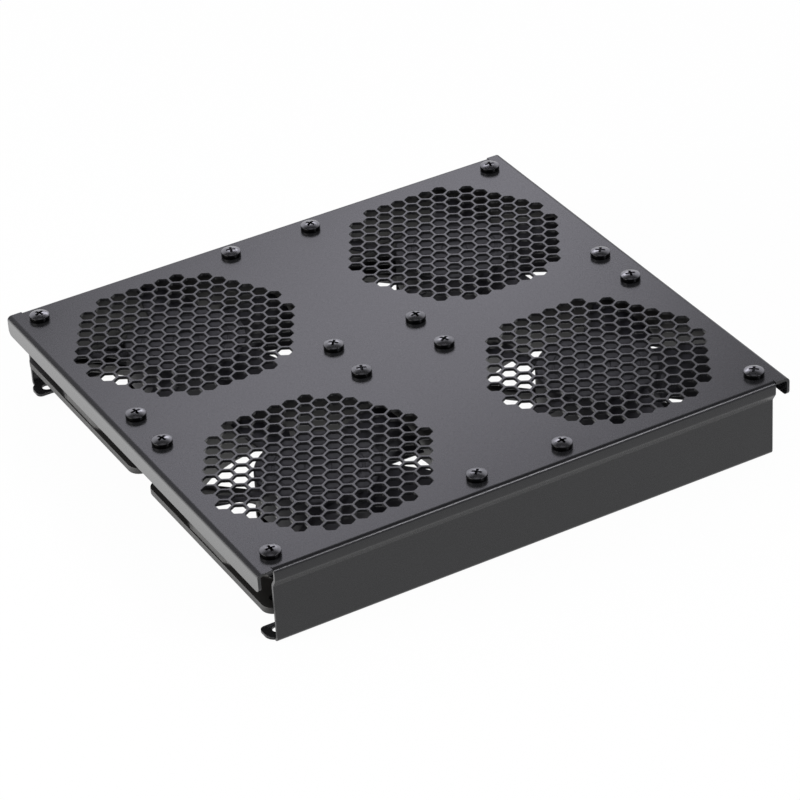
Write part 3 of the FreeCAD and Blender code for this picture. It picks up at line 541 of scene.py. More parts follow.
def textured(name, colour, rough, metal=0.0, grain=0.4, bump=0.1, tone=0.06, rough_spread=0.05, gloss=0.5,
             stretch=(1, 1, 1)):
    """A surface whose colour, roughness and height vary with a fine grain, in millimetres."""
    paint = bpy.data.materials.new(name)
    paint.use_nodes = True
    tree = paint.node_tree
    whole = add_node(tree, "TexCoord").outputs["Object"]
    place = add_node(tree, "Mapping", {"Vector": whole, "Scale": stretch})
    fine = add_node(tree, "TexNoise", {"Vector": place, "Scale": 1 / (grain * MM), "Detail": 3.0})
    broad = add_node(tree, "TexNoise", {"Vector": place, "Scale": 1 / (broad_grain * grain * MM),
                                        "Detail": 4.0})
    tint = ramp(tree, broad, [
        (noise_low, [c * (1 - tone) for c in colour] + [1]),
        (noise_high, [min(1, c * (1 + tone)) for c in colour] + [1])])
    dull = ranged(tree, fine, noise_low, noise_high, rough - rough_spread, rough + rough_spread)
    relief = add_node(tree, "Bump", {"Height": fine, "Strength": bump, "Distance": relief_height * MM})
    feed(tree, tree.nodes["Principled BSDF"], {"Base Color": tint, "Roughness": dull, "Normal": relief,
                                               "Metallic": metal, "Specular IOR Level": gloss})
    return paint


black_coat = textured("black_powder_coat", coat_colour, coat_rough, bump=0.02, rough_spread=0.015,
                      gloss=coat_gloss)
tray = piece_from(mesh_of(tray_bm), "folded_tray", black_coat, smooth=35)
break_edges(tray, cut_edge)
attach(tray, "tray")
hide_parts("tray")

# The fan screws: sixteen steel pan-head machine screws with a cross recess, turned and rolled,
# black oxide under a film of oil, one through each corner of each fan.
screw_centres = [(side_x * fan_centre.x + x, side_y * fan_centre.y + y)
                 for side_x, side_y in fan_sides for x, y in screw_corners]
head_radius = span("fan_screws", "x")[1] - (fan_centre.x + screw_offset)
head_height = span("fan_screws", "z")[1] - tray_top
head_foot = 0.35
head_chamfer = 0.1
crown_radius = 11.5
shoulder = 0.25
shank_radius = 2.0
shank_end = span("fan_screws", "z")[0] - tray_top
thread_pitch = 0.7
thread_depth = 0.35
thread_length = 5.6
thread_fade = 0.8
thread_rows = 6
shank_overlap = 0.3
shank_chamfer = 0.2
recess_span = 4.8
recess_arm = 1.3
recess_floor = 0.8
recess_depth = 2.3
recess_straight = 0.9
recess_overrun = 1.0
recess_taper = 0.55
screw_edge = 0.08
screw_turn = 23.0
head_steps = 48
shank_steps = 20
crown_colour = (0.24, 0.24, 0.245)
# A near-black painted shade for the sides of the screw heads.
painted_wall_shade_colour = (0.03, 0.03, 0.031, 1)
wall_facing = 0.75
crown_facing = 0.92


def turned(bm, profile, steps, closed=True):
    """A turned shape about Z from (radius, height) points."""
    loft(bm, [loop_at(bm, circle(0, 0, radius, steps), z) for radius, z in profile], closed)


def closed_mesh(bm, weld=0.0):
    """The mesh of a shape, its doubled vertices welded if asked and its faces turned outwards."""
    if weld:
        bmesh.ops.remove_doubles(bm, verts=bm.verts, dist=weld)
    bmesh.ops.recalc_face_normals(bm, faces=bm.faces)
    return mesh_of(bm)


def cut_out(body, tool):
    """The body with the tool's volume cut out of it."""
    blanks = [in_scene("blank", closed_mesh(bm, weld=1e-5)) for bm in (body, tool)]
    cut = blanks[0].modifiers.new("cut", "BOOLEAN")
    cut.object = blanks[1]
    result = bmesh.new()
    result.from_object(blanks[0], bpy.context.evaluated_depsgraph_get())
    for blank in blanks:
        bpy.data.meshes.remove(blank.data)
    return result


def joined(bm, other, place=Matrix()):
    """Adds one shape to another at a place."""
    mesh = mesh_of(other)
    mesh.transform(place)
    bm.from_mesh(mesh)
    bpy.data.meshes.remove(mesh)


def thread(bm, radius, low, high):
    """A rolled screw thread that tapers out at its lower end."""
    rows = round((high - low) / thread_pitch * thread_rows)
    loops = []
    for row in range(rows + 1):
        z = low + (high - low) * row / rows
        fade = min(1.0, (z - low) / thread_fade)
        loop = []
        for k in range(shank_steps):
            wave = abs(2 * ((z / thread_pitch - k / shank_steps) % 1) - 1)
            reach = radius - thread_depth * (1 - fade) - thread_depth * fade * wave
            angle = tau * k / shank_steps
            loop.append(bm.verts.new((reach * cos(angle), reach * sin(angle), z)))
        loops.append(loop)
    loft(bm, loops, capped=True)


lean = asin((head_radius - shoulder) / (crown_radius - shoulder))
shoulder_z = head_height - crown_radius + (crown_radius - shoulder) * cos(lean)
head_profile = [(0, 0), (head_radius - head_foot, 0), (head_radius - head_chamfer, head_chamfer),
                (head_radius, head_foot)]
head_profile += arc(head_radius - shoulder, shoulder_z, shoulder, 0, pi / 2 - lean, 6)
head_profile += arc(0, head_height - crown_radius, crown_radius, pi / 2 - lean, pi / 2, 8)[1:]
screw_shape = bmesh.new()
turned(screw_shape, head_profile, head_steps, closed=False)
for turn in (0, 90):
    recess = bmesh.new()
    arm = Matrix.Rotation(radians(turn), 2)
    levels = []
    for z, share in ((head_height + recess_overrun, 1.0), (head_height - recess_straight, 1.0),
                     (head_height - recess_depth, recess_floor / recess_span)):
        half_span = recess_span / 2 * share
        half_arm = recess_arm / 2 * (1 - recess_taper * (1 - share))
        corners = [(half_span, -half_arm), (half_span, half_arm), (-half_span, half_arm),
                   (-half_span, -half_arm)]
        levels.append(loop_at(recess, [arm @ Vector(corner) for corner in corners], z))
    loft(recess, levels, capped=True)
    screw_shape = cut_out(screw_shape, recess)
shank = bmesh.new()
turned(shank, [(0, shank_overlap), (shank_radius, shank_overlap),
               (shank_radius, shank_chamfer - thread_length),
               (shank_radius - thread_depth, -thread_length), (0, -thread_length)],
       shank_steps, closed=False)
thread(shank, shank_radius, shank_end, shank_chamfer / 2 - thread_length)
bmesh.ops.remove_doubles(shank, verts=shank.verts, dist=1e-5)
joined(screw_shape, shank)


def at_screws(z, turn=0.0):
    """A place at each fan screw, each turned by an angle in degrees more than the one before."""
    return [Matrix.Translation((x, y, z)) @ Matrix.Rotation(radians(turn * i), 4, "Z")
            for i, (x, y) in enumerate(screw_centres)]


def facing_up(tree):
    """How far the surface faces up, from -1 to 1."""
    normal = add_node(tree, "NewGeometry").outputs["Normal"]
    return add_node(tree, "SeparateXYZ", {0: normal}).outputs["Z"]


black_oxide_and_painted_shade = textured("black_oxide_and_painted_shade", crown_colour, 0.24, metal=1.0, grain=0.25, bump=0.04, tone=0.2,
                       rough_spread=0.04)
oxide_tree = black_oxide_and_painted_shade.node_tree
# Painted shade: where the head's surface faces sideways its colour is near-black, and only the faces turned
# up towards the crown keep the oxide's own colour.
painted_shade_fade = ranged(oxide_tree, facing_up(oxide_tree), wall_facing, crown_facing)
painted_shade_mix = add_node(oxide_tree, "Mix", {"Factor": painted_shade_fade, "A": painted_wall_shade_colour,
                                         "B": oxide_tree.nodes["Color Ramp"]}, data_type="RGBA")
feed(oxide_tree, oxide_tree.nodes["Principled BSDF"], {"Base Color": painted_shade_mix.outputs["Result"]})
screws = piece_from(closed_mesh(screw_shape), "pan_head_screws", black_oxide_and_painted_shade, smooth=30,
                    places=at_screws(tray_top, screw_turn))
break_edges(screws, screw_edge, limit=40)
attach(screws, "tray")
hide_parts("fan_screws")

# The washers and nuts under the upper flange of each fan: steel with a black oxide finish, the
# nuts pressed with chamfered corners on both faces.
nut_low, nut_high = span("fan_nuts", "z")
washer_low, washer_high = span("fan_washers", "z")
washer_height = washer_high - washer_low
nut_flats = 7.0
nut_face = 0.97
nut_cone = radians(30)
nut_hole = 2.05
nut_sink = 0.3
nut_turn = 11.0
nut_steps = 48
washer_radius = 4.25
washer_edge = 0.15
washer_steps = 40
nut_colour = (0.016, 0.016, 0.017)


def hexagon_nut(height):
    """A nut with its corners cut back by a cone at both faces and a countersunk thread."""
    bm = bmesh.new()
    inscribed = nut_flats / 2
    flat = inscribed * nut_face
    mouth = nut_hole + nut_sink
    loops = [[] for _ in range(8)]
    for k in range(nut_steps):
        angle = tau * k / nut_steps
        off = (angle + pi / 6) % (pi / 3) - pi / 6
        reach = inscribed / cos(off)
        fall = (reach - flat) * tan(nut_cone)
        levels = [(mouth, height), (flat, height), (reach, height - fall), (reach, fall),
                  (flat, 0), (mouth, 0), (nut_hole, nut_sink), (nut_hole, height - nut_sink)]
        for loop, (radius, z) in zip(loops, levels):
            loop.append(bm.verts.new((radius * cos(angle), radius * sin(angle), z)))
    loft(bm, loops, closed=True)
    return closed_mesh(bm)


nut_black = textured("blackened_nut", nut_colour, 0.34, metal=0.6, grain=0.3, bump=0.08, tone=0.2,
                     rough_spread=0.08)
nuts = piece_from(hexagon_nut(nut_high - nut_low), "hexagon_nuts", nut_black, smooth=25,
                  places=at_screws(nut_low, nut_turn))
washer_shape = bmesh.new()
turned(washer_shape, [
    (nut_hole, washer_edge), (nut_hole + washer_edge, 0), (washer_radius - washer_edge, 0),
    (washer_radius, washer_edge), (washer_radius, washer_height - washer_edge),
    (washer_radius - washer_edge, washer_height), (nut_hole + washer_edge, washer_height),
    (nut_hole, washer_height - washer_edge)], washer_steps)
washers = piece_from(closed_mesh(washer_shape), "flat_washers", nut_black, smooth=30,
                     places=at_screws(washer_low))
for piece, node in ((nuts, "fan_nuts"), (washers, "fan_washers")):
    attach(piece, "tray")
    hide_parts(node)

# The fan frames: die-cast aluminium with a thin black paint. Two square flanges on a round barrel,
# and four struts that carry the motor's base and the tube for the bearings.
fan_turns = {"back_left": 0, "back_right": -90, "front_left": 90, "front_right": 180}
fan_bottom, fan_top = span("frame_back_right", "z")
fan_left, fan_right = span("frame_back_right", "x")
fan_half = (fan_right - fan_left) / 2
flange_thickness = 3.5
corner_radius = 6.0
bore_radius = fan_half - 1.25
barrel_radius = bore_radius + 1.9
barrel_flat = 0.2
cast_edge = 0.35
cast_round = 0.1
barrel_fillet = 1.6
bore_edge = 0.25
lead_in = 0.7
lead_round = 0.45
lead_depth = 1.2
bore_steps = 120
lathe_steps = 96
strut_angles = (45, 135, 225, 315)
grooved_strut = 315
strut_width = 4.5
strut_height = 5.5
strut_edge = 0.7
strut_flare = 2.2
strut_lift = 0.06
strut_round = 0.3
wire_groove = 2.2
base_radius = 30.0
flare_length = 2.5
strut_stations = (base_radius - 1.2, base_radius + 0.5, base_radius + flare_length, 44.0,
                  bore_radius - flare_length, bore_radius - 0.6, bore_radius + 0.8)
base_top = fan_bottom + 3.5
label_recess = 0.3
seat_radius = 5.52
shoulder_radius = 4.22
tube_radius = 7.52
bearing_width = 4.0
bearings_low, bearings_high = span("bearings_back_right", "z")
lower_seat = bearings_low + bearing_width
upper_seat = bearings_high - bearing_width
tube_top = bearings_high + 0.5
frame_colour = (0.010, 0.0095, 0.009)


def fan_place(name):
    """Where a fan's own axes stand in the tray, in millimetres."""
    low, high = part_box("frame_" + name)
    middle = (low + high) / (2 * MM)
    turn = Matrix.Rotation(radians(fan_turns[name]), 4, "Z")
    return Matrix.Translation((middle.x, middle.y, 0)) @ turn


def rounded_square(half, radius):
    """A square with rounded corners, counterclockwise."""
    corner = arc(half - radius, half - radius, radius, 0, pi / 2, 8)
    turns = [Matrix.Rotation(radians(90 * quarter), 2) for quarter in range(4)]
    return [turn @ point for turn in turns for point in corner]


def barrel_loop(bm, radius, z):
    """The outside of the barrel, flattened where it meets the sides of the square."""
    widest = fan_half - cast_edge - barrel_flat
    points = [point * min(1.0, widest / max(abs(point.x), abs(point.y)))
              for point in circle(0, 0, radius, bore_steps)]
    return loop_at(bm, points, z)


frame_bm = bmesh.new()
mouths = []
feet = []
for down, face_z, inner_z in ((1, fan_top, fan_top - flange_thickness),
                              (-1, fan_bottom, fan_bottom + flange_thickness)):
    rim = [loop_at(frame_bm, rounded_square(fan_half - inset, corner_radius - inset), z)
           for inset, z in ((cast_edge, face_z), (cast_round, face_z - down * cast_round),
                            (0, face_z - down * cast_edge), (0, inner_z + down * cast_edge),
                            (cast_round, inner_z + down * cast_round), (cast_edge, inner_z))]
    loft(frame_bm, rim)
    face_holes = []
    inner_holes = []
    for x, y in screw_corners:
        wall = [loop_at(frame_bm, circle(x, y, screw_hole_radius + wider, hole_steps), z)
                for wider, z in ((bore_edge, face_z), (0, face_z - down * bore_edge),
                                 (0, inner_z + down * bore_edge), (bore_edge, inner_z))]
        loft(frame_bm, wall)
        face_holes.append(wall[0])
        inner_holes.append(wall[-1])
    mouths.append(loop_at(frame_bm, circle(0, 0, bore_radius + lead_in, bore_steps), face_z))
    fill_flat(frame_bm, rim[0], face_holes + mouths[-1:])
    feet.append(barrel_loop(frame_bm, barrel_radius + barrel_fillet, inner_z))
    fill_flat(frame_bm, rim[-1], inner_holes + feet[-1:])
bore = [loop_at(frame_bm, circle(0, 0, bore_radius + wider, bore_steps), z)
        for wider, z in ((bore_edge, fan_top - lead_round), (0, fan_top - lead_depth),
                         (0, fan_bottom + lead_depth), (bore_edge, fan_bottom + lead_round))]
loft(frame_bm, [mouths[0], *bore, mouths[1]])
barrel = []
for sign, z, rounds in ((1, fan_top - flange_thickness, (30, 60, 90)),
                        (-1, fan_bottom + flange_thickness, (90, 60, 30))):
    for angle in rounds:
        lean = radians(angle)
        barrel.append(barrel_loop(frame_bm, barrel_radius + barrel_fillet * (1 - sin(lean)),
                                  z - sign * barrel_fillet * (1 - cos(lean))))
loft(frame_bm, [feet[0], *barrel, feet[1]])


def strut(bm, angle):
    """A cast strut with rounded edges, wider where it meets the base and the barrel."""
    turn = Matrix.Rotation(radians(angle), 3, "Z")
    edge, near = strut_edge, strut_edge * strut_round
    low, high = fan_bottom + strut_lift, fan_bottom + strut_height
    loops = []
    for distance in strut_stations:
        near_end = max(0.0, 1 - min(distance - base_radius, bore_radius - distance) / flare_length)
        half = strut_width / 2 + strut_flare / 2 * min(1.0, near_end) ** 2
        section = [(half - edge, low), (half - near, low + near), (half, low + edge),
                   (half, high - edge), (half - near, high - near), (half - edge, high)]
        if angle == grooved_strut:
            section += [(wire_groove / 2, high), (wire_groove / 2, base_top)]
        section += [(-y, z) for y, z in reversed(section)]
        section = section[-1:] + section[:-1]
        loops.append([bm.verts.new(turn @ Vector((distance, y, z))) for y, z in section])
    loft(bm, loops, capped=True)


for angle in strut_angles:
    strut(frame_bm, angle)
turned(frame_bm, [
    (seat_radius, fan_bottom + 0.3), (seat_radius + 0.3, fan_bottom), (tube_radius + 0.4, fan_bottom),
    (tube_radius + 0.7, fan_bottom + label_recess), (base_radius - 3.2, fan_bottom + label_recess),
    (base_radius - 2.9, fan_bottom), (base_radius - 0.8, fan_bottom),
    (base_radius - 0.25, fan_bottom + 0.25), (base_radius, fan_bottom + 0.8),
    (base_radius, base_top - 0.5), (base_radius - 0.5, base_top),
    (tube_radius + 1.0, base_top), (tube_radius + 0.3, base_top + 0.3), (tube_radius, base_top + 1.0),
    (tube_radius, tube_top - 0.3), (tube_radius - 0.3, tube_top), (seat_radius + 0.2, tube_top),
    (seat_radius, tube_top - 0.2), (seat_radius, upper_seat), (shoulder_radius, upper_seat),
    (shoulder_radius, lower_seat), (seat_radius, lower_seat)], lathe_steps)
frame_mesh = closed_mesh(frame_bm, weld=1e-5)
cast_paint = textured("black_cast_paint", frame_colour, 0.48, grain=0.5, bump=0.22, tone=0.15,
                      rough_spread=0.08)
for name in fan_turns:
    cast = piece_from(frame_mesh, "cast_frame_" + name, cast_paint, smooth=32, places=[fan_place(name)])
    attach(cast, "tray")
    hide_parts("frame_" + name)

# The terminal blocks: black moulded plastic, one let into the side of each frame under the upper
# flange, with two slots for the tabs.
block_half = 6.0
block_width = 9.25
block_height = 9.0
block_face = fan_half - 0.5
block_middle = -39.0
block_top = fan_top - flange_thickness
block_edge = 0.7
slot_width = 3.0
slot_height = 1.0
slot_spacing = 5.0
slot_plate = (5.7, 4.2, 1.2)
slot_rim = 0.2
slot_middle = block_top - block_height / 2 - 0.5
block_colour = (0.020, 0.020, 0.021)


def rounded_block(bm, low, high, edge):
    """A block with rounded edges and corners."""
    made = bmesh.ops.create_cube(bm, size=1.0)["verts"]
    bmesh.ops.scale(bm, vec=[high[i] - low[i] for i in range(3)], verts=made)
    bmesh.ops.translate(bm, vec=[(high[i] + low[i]) / 2 for i in range(3)], verts=made)
    edges = list(dict.fromkeys(item for vert in made for item in vert.link_edges))
    bmesh.ops.bevel(bm, geom=edges, offset=edge, segments=3, profile=0.5, affect="EDGES")


block_bm = bmesh.new()
rounded_block(block_bm, (block_face - block_width, block_middle - block_half, block_top - block_height),
              (block_face - slot_plate[2] + 0.05, block_middle + block_half, block_top), block_edge)
slot_face = bmesh.new()
slot_holes = []
for x in (-slot_spacing / 2, slot_spacing / 2):
    slot_holes.append((Vector((x, 0)), [Vector((x + a * slot_height / 2, b * slot_width / 2))
                                        for a, b in ((1, -1), (1, 1), (-1, 1), (-1, -1))]))
plate_outline = [(x * slot_plate[0], y * slot_plate[1]) for x, y in ((-1, -1), (1, -1), (1, 1), (-1, 1))]
flat_sheet(slot_face, plate_outline, slot_holes, -slot_plate[2], 0, slot_rim)
facing_out = Matrix(((0, 0, 1, 0), (1, 0, 0, 0), (0, 1, 0, 0), (0, 0, 0, 1)))
joined(block_bm, slot_face, Matrix.Translation((block_face, block_middle, slot_middle)) @ facing_out)
block_mesh = closed_mesh(block_bm)
moulded = textured("moulded_plastic", block_colour, 0.42, grain=0.6, bump=0.12, tone=0.08)
for name in fan_turns:
    block = piece_from(block_mesh, "terminal_block_" + name, moulded, smooth=32, places=[fan_place(name)])
    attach(block, "tray")

# The impellers: glass-filled black plastic, moulded in one shot: a cup-shaped hub with five swept,
# cambered blades. Each turns with its own body.
hub_radius = 29.5
hub_wall = 1.2
hub_bottom, hub_top = span("impeller_back_right", "z")
hub_roof = 2.0
hub_round = 1.0
dish_radius = 6.0
dish_depth = 0.35
groove_inside = 20.0
groove_outside = 21.5
groove_depth = 0.3
shaft_end_depth = 1.0
axis_gap = 0.01
shaft_bore = 2.02
boss_radius = 5.0
boss_height = 2.6
tip_radius = bore_radius - 1.2
blade_count = 5
blade_thickness = 1.6
blade_edge_share = 0.5
blade_camber = 2.2
blade_top_gap = 0.8
root_chord = 19.0
tip_chord = 33.0
middle_sweep = 4.0
tip_sweep = 10.0
root_fillet = 0.7
root_fillet_reach = 0.9
blade_root = hub_radius - hub_wall - 2.0
blade_outside = tip_radius + 3.0
blade_bury = 0.9
blade_stations = 14
blade_crowding = 1.4
blade_points = 13
rest_angles = {"back_left": 8.7, "back_right": -8.5, "front_left": 27.0, "front_right": -20.0}
impeller_colour = (0.015, 0.0145, 0.019)


def blade_line(distance, share):
    """Middle of the blade at a distance from the axis, share 0 at its upper edge to 1 at its lower."""
    part = (distance - blade_root) / (blade_outside - blade_root)
    chord = root_chord + (tip_chord - root_chord) * part
    shift = -(part * (4 * middle_sweep - tip_sweep) + part * part * (2 * tip_sweep - 4 * middle_sweep))
    high = Vector((shift + chord / 2, hub_top - blade_top_gap - blade_thickness / 2))
    low = Vector((shift - chord / 2, hub_bottom + blade_thickness / 2))
    along = low - high
    normal = Vector((along.y, -along.x)).normalized()
    if normal.y < 0:
        normal = -normal
    bow = 4 * blade_camber * share * (1 - share)
    return high + along * share + normal * bow, normal


def blade_point(radius, share, side):
    """A point on the blade's skin at a true radius from the axis."""
    distance = radius
    for _ in range(4):
        middle, normal = blade_line(distance, share)
        distance = sqrt(max(radius ** 2 - middle.x ** 2, 1.0))
    near_hub = exp(-max(0.0, radius - hub_radius) / root_fillet_reach)
    fullness = blade_edge_share + 4 * (1 - blade_edge_share) * share * (1 - share)
    half = blade_thickness / 2 * fullness + root_fillet * near_hub
    point = middle + normal * half * side
    return Vector((distance, point.x, point.y))


impeller_bm = bmesh.new()
turned(impeller_bm, [
    (shaft_bore, hub_top - shaft_end_depth), (axis_gap, hub_top - shaft_end_depth),
    (axis_gap, hub_top - dish_depth), (dish_radius, hub_top - dish_depth), (dish_radius + 0.4, hub_top),
    (groove_inside, hub_top), (groove_inside + groove_depth, hub_top - groove_depth),
    (groove_outside - groove_depth, hub_top - groove_depth), (groove_outside, hub_top),
    (hub_radius - hub_round, hub_top), (hub_radius - 0.62, hub_top - 0.08),
    (hub_radius - 0.29, hub_top - 0.29), (hub_radius - 0.08, hub_top - 0.62),
    (hub_radius, hub_top - hub_round), (hub_radius, hub_bottom + 0.3),
    (hub_radius - 0.3, hub_bottom), (hub_radius - hub_wall + 0.2, hub_bottom),
    (hub_radius - hub_wall, hub_bottom + 0.3), (hub_radius - hub_wall, hub_top - hub_roof),
    (boss_radius + 0.6, hub_top - hub_roof), (boss_radius, hub_top - hub_roof - 0.6),
    (boss_radius, hub_top - hub_roof - boss_height), (shaft_bore, hub_top - hub_roof - boss_height)],
       lathe_steps)
shares = [0.5 - 0.5 * cos(pi * k / (blade_points - 1)) for k in range(blade_points)]
section = [(share, 1) for share in shares] + [(share, -1) for share in reversed(shares)]
for blade in range(blade_count):
    turn = Matrix.Rotation(tau * blade / blade_count, 3, "Z")
    loops = []
    for station in range(blade_stations):
        part = station / (blade_stations - 1)
        radius = hub_radius - blade_bury + (tip_radius - hub_radius + blade_bury) * part ** blade_crowding
        loops.append([impeller_bm.verts.new(turn @ blade_point(radius, *place)) for place in section])
    loft(impeller_bm, loops, capped=True)
impeller_mesh = closed_mesh(impeller_bm, weld=1e-4)
blade_plastic = textured("glass_filled_plastic", impeller_colour, 0.55, grain=0.35, bump=0.10, tone=0.12,
                         rough_spread=0.07, gloss=0.45)
for name, angle in rest_angles.items():
    place = Matrix.Translation(fan_place(name).translation) @ Matrix.Rotation(radians(angle), 4, "Z")
    impeller = piece_from(impeller_mesh, "moulded_impeller_" + name, blade_plastic, smooth=38,
                          places=[place])
    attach(impeller, "impeller_" + name)
    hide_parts("impeller_" + name)

# The rotors inside the hubs: a rolled steel ring pressed into each cup, and a ground steel shaft
# moulded into its roof, held under the lower bearing by a split clip. They turn with the impeller.
steel_colour = (0.36, 0.36, 0.37)
ring_colour = (0.20, 0.20, 0.21)
seam_gap = 0.002
wave_turn = 20
line_waver = 0.4
line_height = 0.2
grinding_pitch = 0.12


def kept_node(node, paint, edge=0.0):
    """A node of the frame that keeps its own shape, with its edges slightly broken."""
    piece = bpy.data.objects[node]
    piece.data.materials.clear()
    piece.data.materials.append(paint)
    if edge > 0:
        join = piece.modifiers.new("joined_faces", "WELD")
        join.merge_threshold = seam_gap * MM
        break_edges(piece, edge, limit=35)
        piece.modifiers["broken_edges"].harden_normals = True


def add_lines(paint, spacing, direction, depth):
    """Fine parallel lines in a surface, of laminations, wire or grinding, a spacing apart in mm."""
    tree = paint.node_tree
    wave = add_node(tree, "TexWave", {"Vector": tree.nodes["Texture Coordinate"].outputs["Object"],
                                      "Scale": tau / (wave_turn * spacing * MM), "Distortion": line_waver},
                    bands_direction=direction)
    ridge = add_node(tree, "Bump", {"Height": wave.outputs["Fac"], "Strength": depth,
                                    "Distance": line_height * MM})
    feed(tree, tree.nodes["Bump"], {"Normal": ridge})


rotor_steel = textured("rolled_steel", ring_colour, 0.38, metal=1.0, grain=0.5, tone=0.2, stretch=(1, 1, 8))
ground_steel = textured("ground_steel", steel_colour, 0.18, metal=1.0, grain=0.3, bump=0.04, tone=0.08)
add_lines(ground_steel, grinding_pitch, "Z", 0.04)
for name in fan_turns:
    kept_node("rotor_ring_" + name, rotor_steel, 0.2)
    kept_node("shaft_" + name, ground_steel, 0.1)
    kept_node("retaining_clip_" + name, ground_steel, 0.04)

# The bearings of each fan, two shielded ball bearings in the ends of the tube, and the pressed
# cap that closes the tube below.
bearing_colour = (0.42, 0.42, 0.43)
cap_colour = (0.016, 0.016, 0.017)
bearing_steel = textured("bearing_steel", bearing_colour, 0.22, metal=1.0, bump=0.04, tone=0.1)
for name in fan_turns:
    kept_node("bearings_" + name, bearing_steel, 0.25)
kept_node("bearing_caps", textured("cap_plastic", cap_colour, 0.38, grain=0.5), 0.2)

# The stators: stacked steel laminations on the bearing tube, with a coil of enamelled copper wire
# round each of the four pole necks, and the lead-out wires in the grooved struts.
lamination_colour = (0.24, 0.24, 0.25)
lamination_height = 0.5
copper_colour = (0.52, 0.19, 0.06)
copper_wire = 0.45
sheath_colour = (0.025, 0.025, 0.027)
laminations = textured("laminations", lamination_colour, 0.42, metal=1.0, bump=0.08, tone=0.15)
add_lines(laminations, lamination_height, "Z", 0.5)
enamelled_copper = textured("enamelled_copper", copper_colour, 0.26, metal=1.0, grain=0.3, bump=0.05,
                            tone=0.15)
add_lines(enamelled_copper, copper_wire, "DIAGONAL", 0.6)
for name in fan_turns:
    kept_node("stator_core_" + name, laminations, 0.1)
    kept_node("stator_coils_" + name, enamelled_copper, 0.2)
kept_node("motor_wires", textured("wire_sheath", sheath_colour, 0.35, grain=0.3, bump=0.05))

# The tabs of the terminals, stamped from tinned brass, and the push-on plugs over them, moulded
# from black plastic with ribs for the fingers and a short sleeve where the lead leaves.
terminal_middle = sum(span("terminals_back_right", "z")) / 2
plug_start = block_face + 0.1
plug_length = 8.0
plug_height = 8.0
plug_edge = 1.1
plug_ribs = 4
rib_reach = 0.45
rib_start = 2.0
rib_reach_half = block_half - 1.4
rib_pitch = 1.4
rib_half = 0.4
rib_edge = 0.25
sleeve_length = 6.5
sleeve_root = 2.9
sleeve_tip = 2.35
sleeve_groove = 0.3
sleeve_foot = 1.0
sleeve_rings = 4
sleeve_steps = 32
lead_radius = 2.0
sleeve_bore = lead_radius + 0.05
exit_sides = {"back_left": 1, "back_right": -1, "front_left": -1, "front_right": -1}
brass_colour = (0.60, 0.55, 0.42)
tinned_brass = textured("tinned_brass", brass_colour, 0.28, metal=1.0, grain=0.3, bump=0.05, tone=0.1)
for name, exit_side in exit_sides.items():
    kept_node("terminals_" + name, tinned_brass, 0.08)
    plug_bm = bmesh.new()
    rounded_block(plug_bm, (plug_start, block_middle - block_half, terminal_middle - plug_height / 2),
                  (plug_start + plug_length - rib_reach, block_middle + block_half,
                   terminal_middle + plug_height / 2), plug_edge)
    for rib in range(plug_ribs):
        z = terminal_middle + (rib - (plug_ribs - 1) / 2) * rib_pitch
        rounded_block(plug_bm, (plug_start + rib_start, block_middle - rib_reach_half, z - rib_half),
                      (plug_start + plug_length, block_middle + rib_reach_half, z + rib_half), rib_edge)
    sleeve = bmesh.new()
    rings = [(sleeve_bore, -sleeve_foot), (sleeve_root, -sleeve_foot), (sleeve_root, 0.4)]
    for ring in range(1, sleeve_rings + 1):
        z = sleeve_length * ring / (sleeve_rings + 1)
        radius = sleeve_root + (sleeve_tip - sleeve_root) * ring / sleeve_rings
        rings += [(radius, z - 0.45), (radius - sleeve_groove, z - 0.3), (radius - sleeve_groove, z + 0.1),
                  (radius, z + 0.25)]
    rings += [(sleeve_tip, sleeve_length), (sleeve_bore, sleeve_length)]
    turned(sleeve, rings, sleeve_steps)
    sleeve_place = (plug_start + plug_length / 2, block_middle + exit_side * block_half, terminal_middle)
    joined(plug_bm, sleeve,
           Matrix.Translation(sleeve_place) @ Matrix.Rotation(-exit_side * pi / 2, 4, "X"))
    plug = piece_from(closed_mesh(plug_bm), "moulded_plug_" + name, moulded, smooth=32,
                      places=[fan_place(name)])
    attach(plug, "tray")
    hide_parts("plug_" + name)

# The four fan leads, round and sheathed in black PVC, from their plugs down the channel between
# the fans to the boot, and the nylon comb under the top that holds them apart.
pvc_colour = (0.018, 0.018, 0.019)
nylon_colour = (0.030, 0.030, 0.031)
lead_sheath = textured("lead_sheath", pvc_colour, 0.36, grain=0.8, bump=0.12, tone=0.1, rough_spread=0.08)
for name in fan_turns:
    kept_node("lead_" + name, lead_sheath)
kept_node("lead_clip", textured("nylon_clip", nylon_colour, 0.45, grain=0.7), 0.3)

# The power inlet: a three-pin appliance inlet of black thermoplastic that snaps into the rear
# apron, its socket open to the back, with nickel plated pins.
inlet_back, inlet_face = span("power_inlet", "y")
inlet_low, inlet_high = span("power_inlet", "z")
rim_half = (span("power_inlet", "x")[1], (inlet_high - inlet_low) / 2)
rim_thickness = 2.0
rim_corner = 2.2
rim_round = 0.8
panel_face = inlet_face - rim_thickness
body_half = (rim_half[0] - inlet_rim, rim_half[1] - inlet_rim)
body_edge = 0.5
body_corner = 0.6
socket_wall = 1.3
socket_back = 3.5
socket_chamfer = 4.0
snap_half = 5.4
snap_height = 0.7
snap_start = -1.6
snap_end = -5.6
thermoplastic_colour = (0.017, 0.017, 0.018)
nickel_colour = (0.62, 0.60, 0.56)


def rounded_outline(corners, radius):
    """A closed outline with its corners turned at a radius."""
    return bent_line([corners[-1]] + corners + [corners[0]], [radius] * len(corners))[1:-1]


def oblong(half, inset, radius):
    x, y = half[0] - inset, half[1] - inset
    return rounded_outline([(x, -y), (x, y), (-x, y), (-x, -y)], radius)


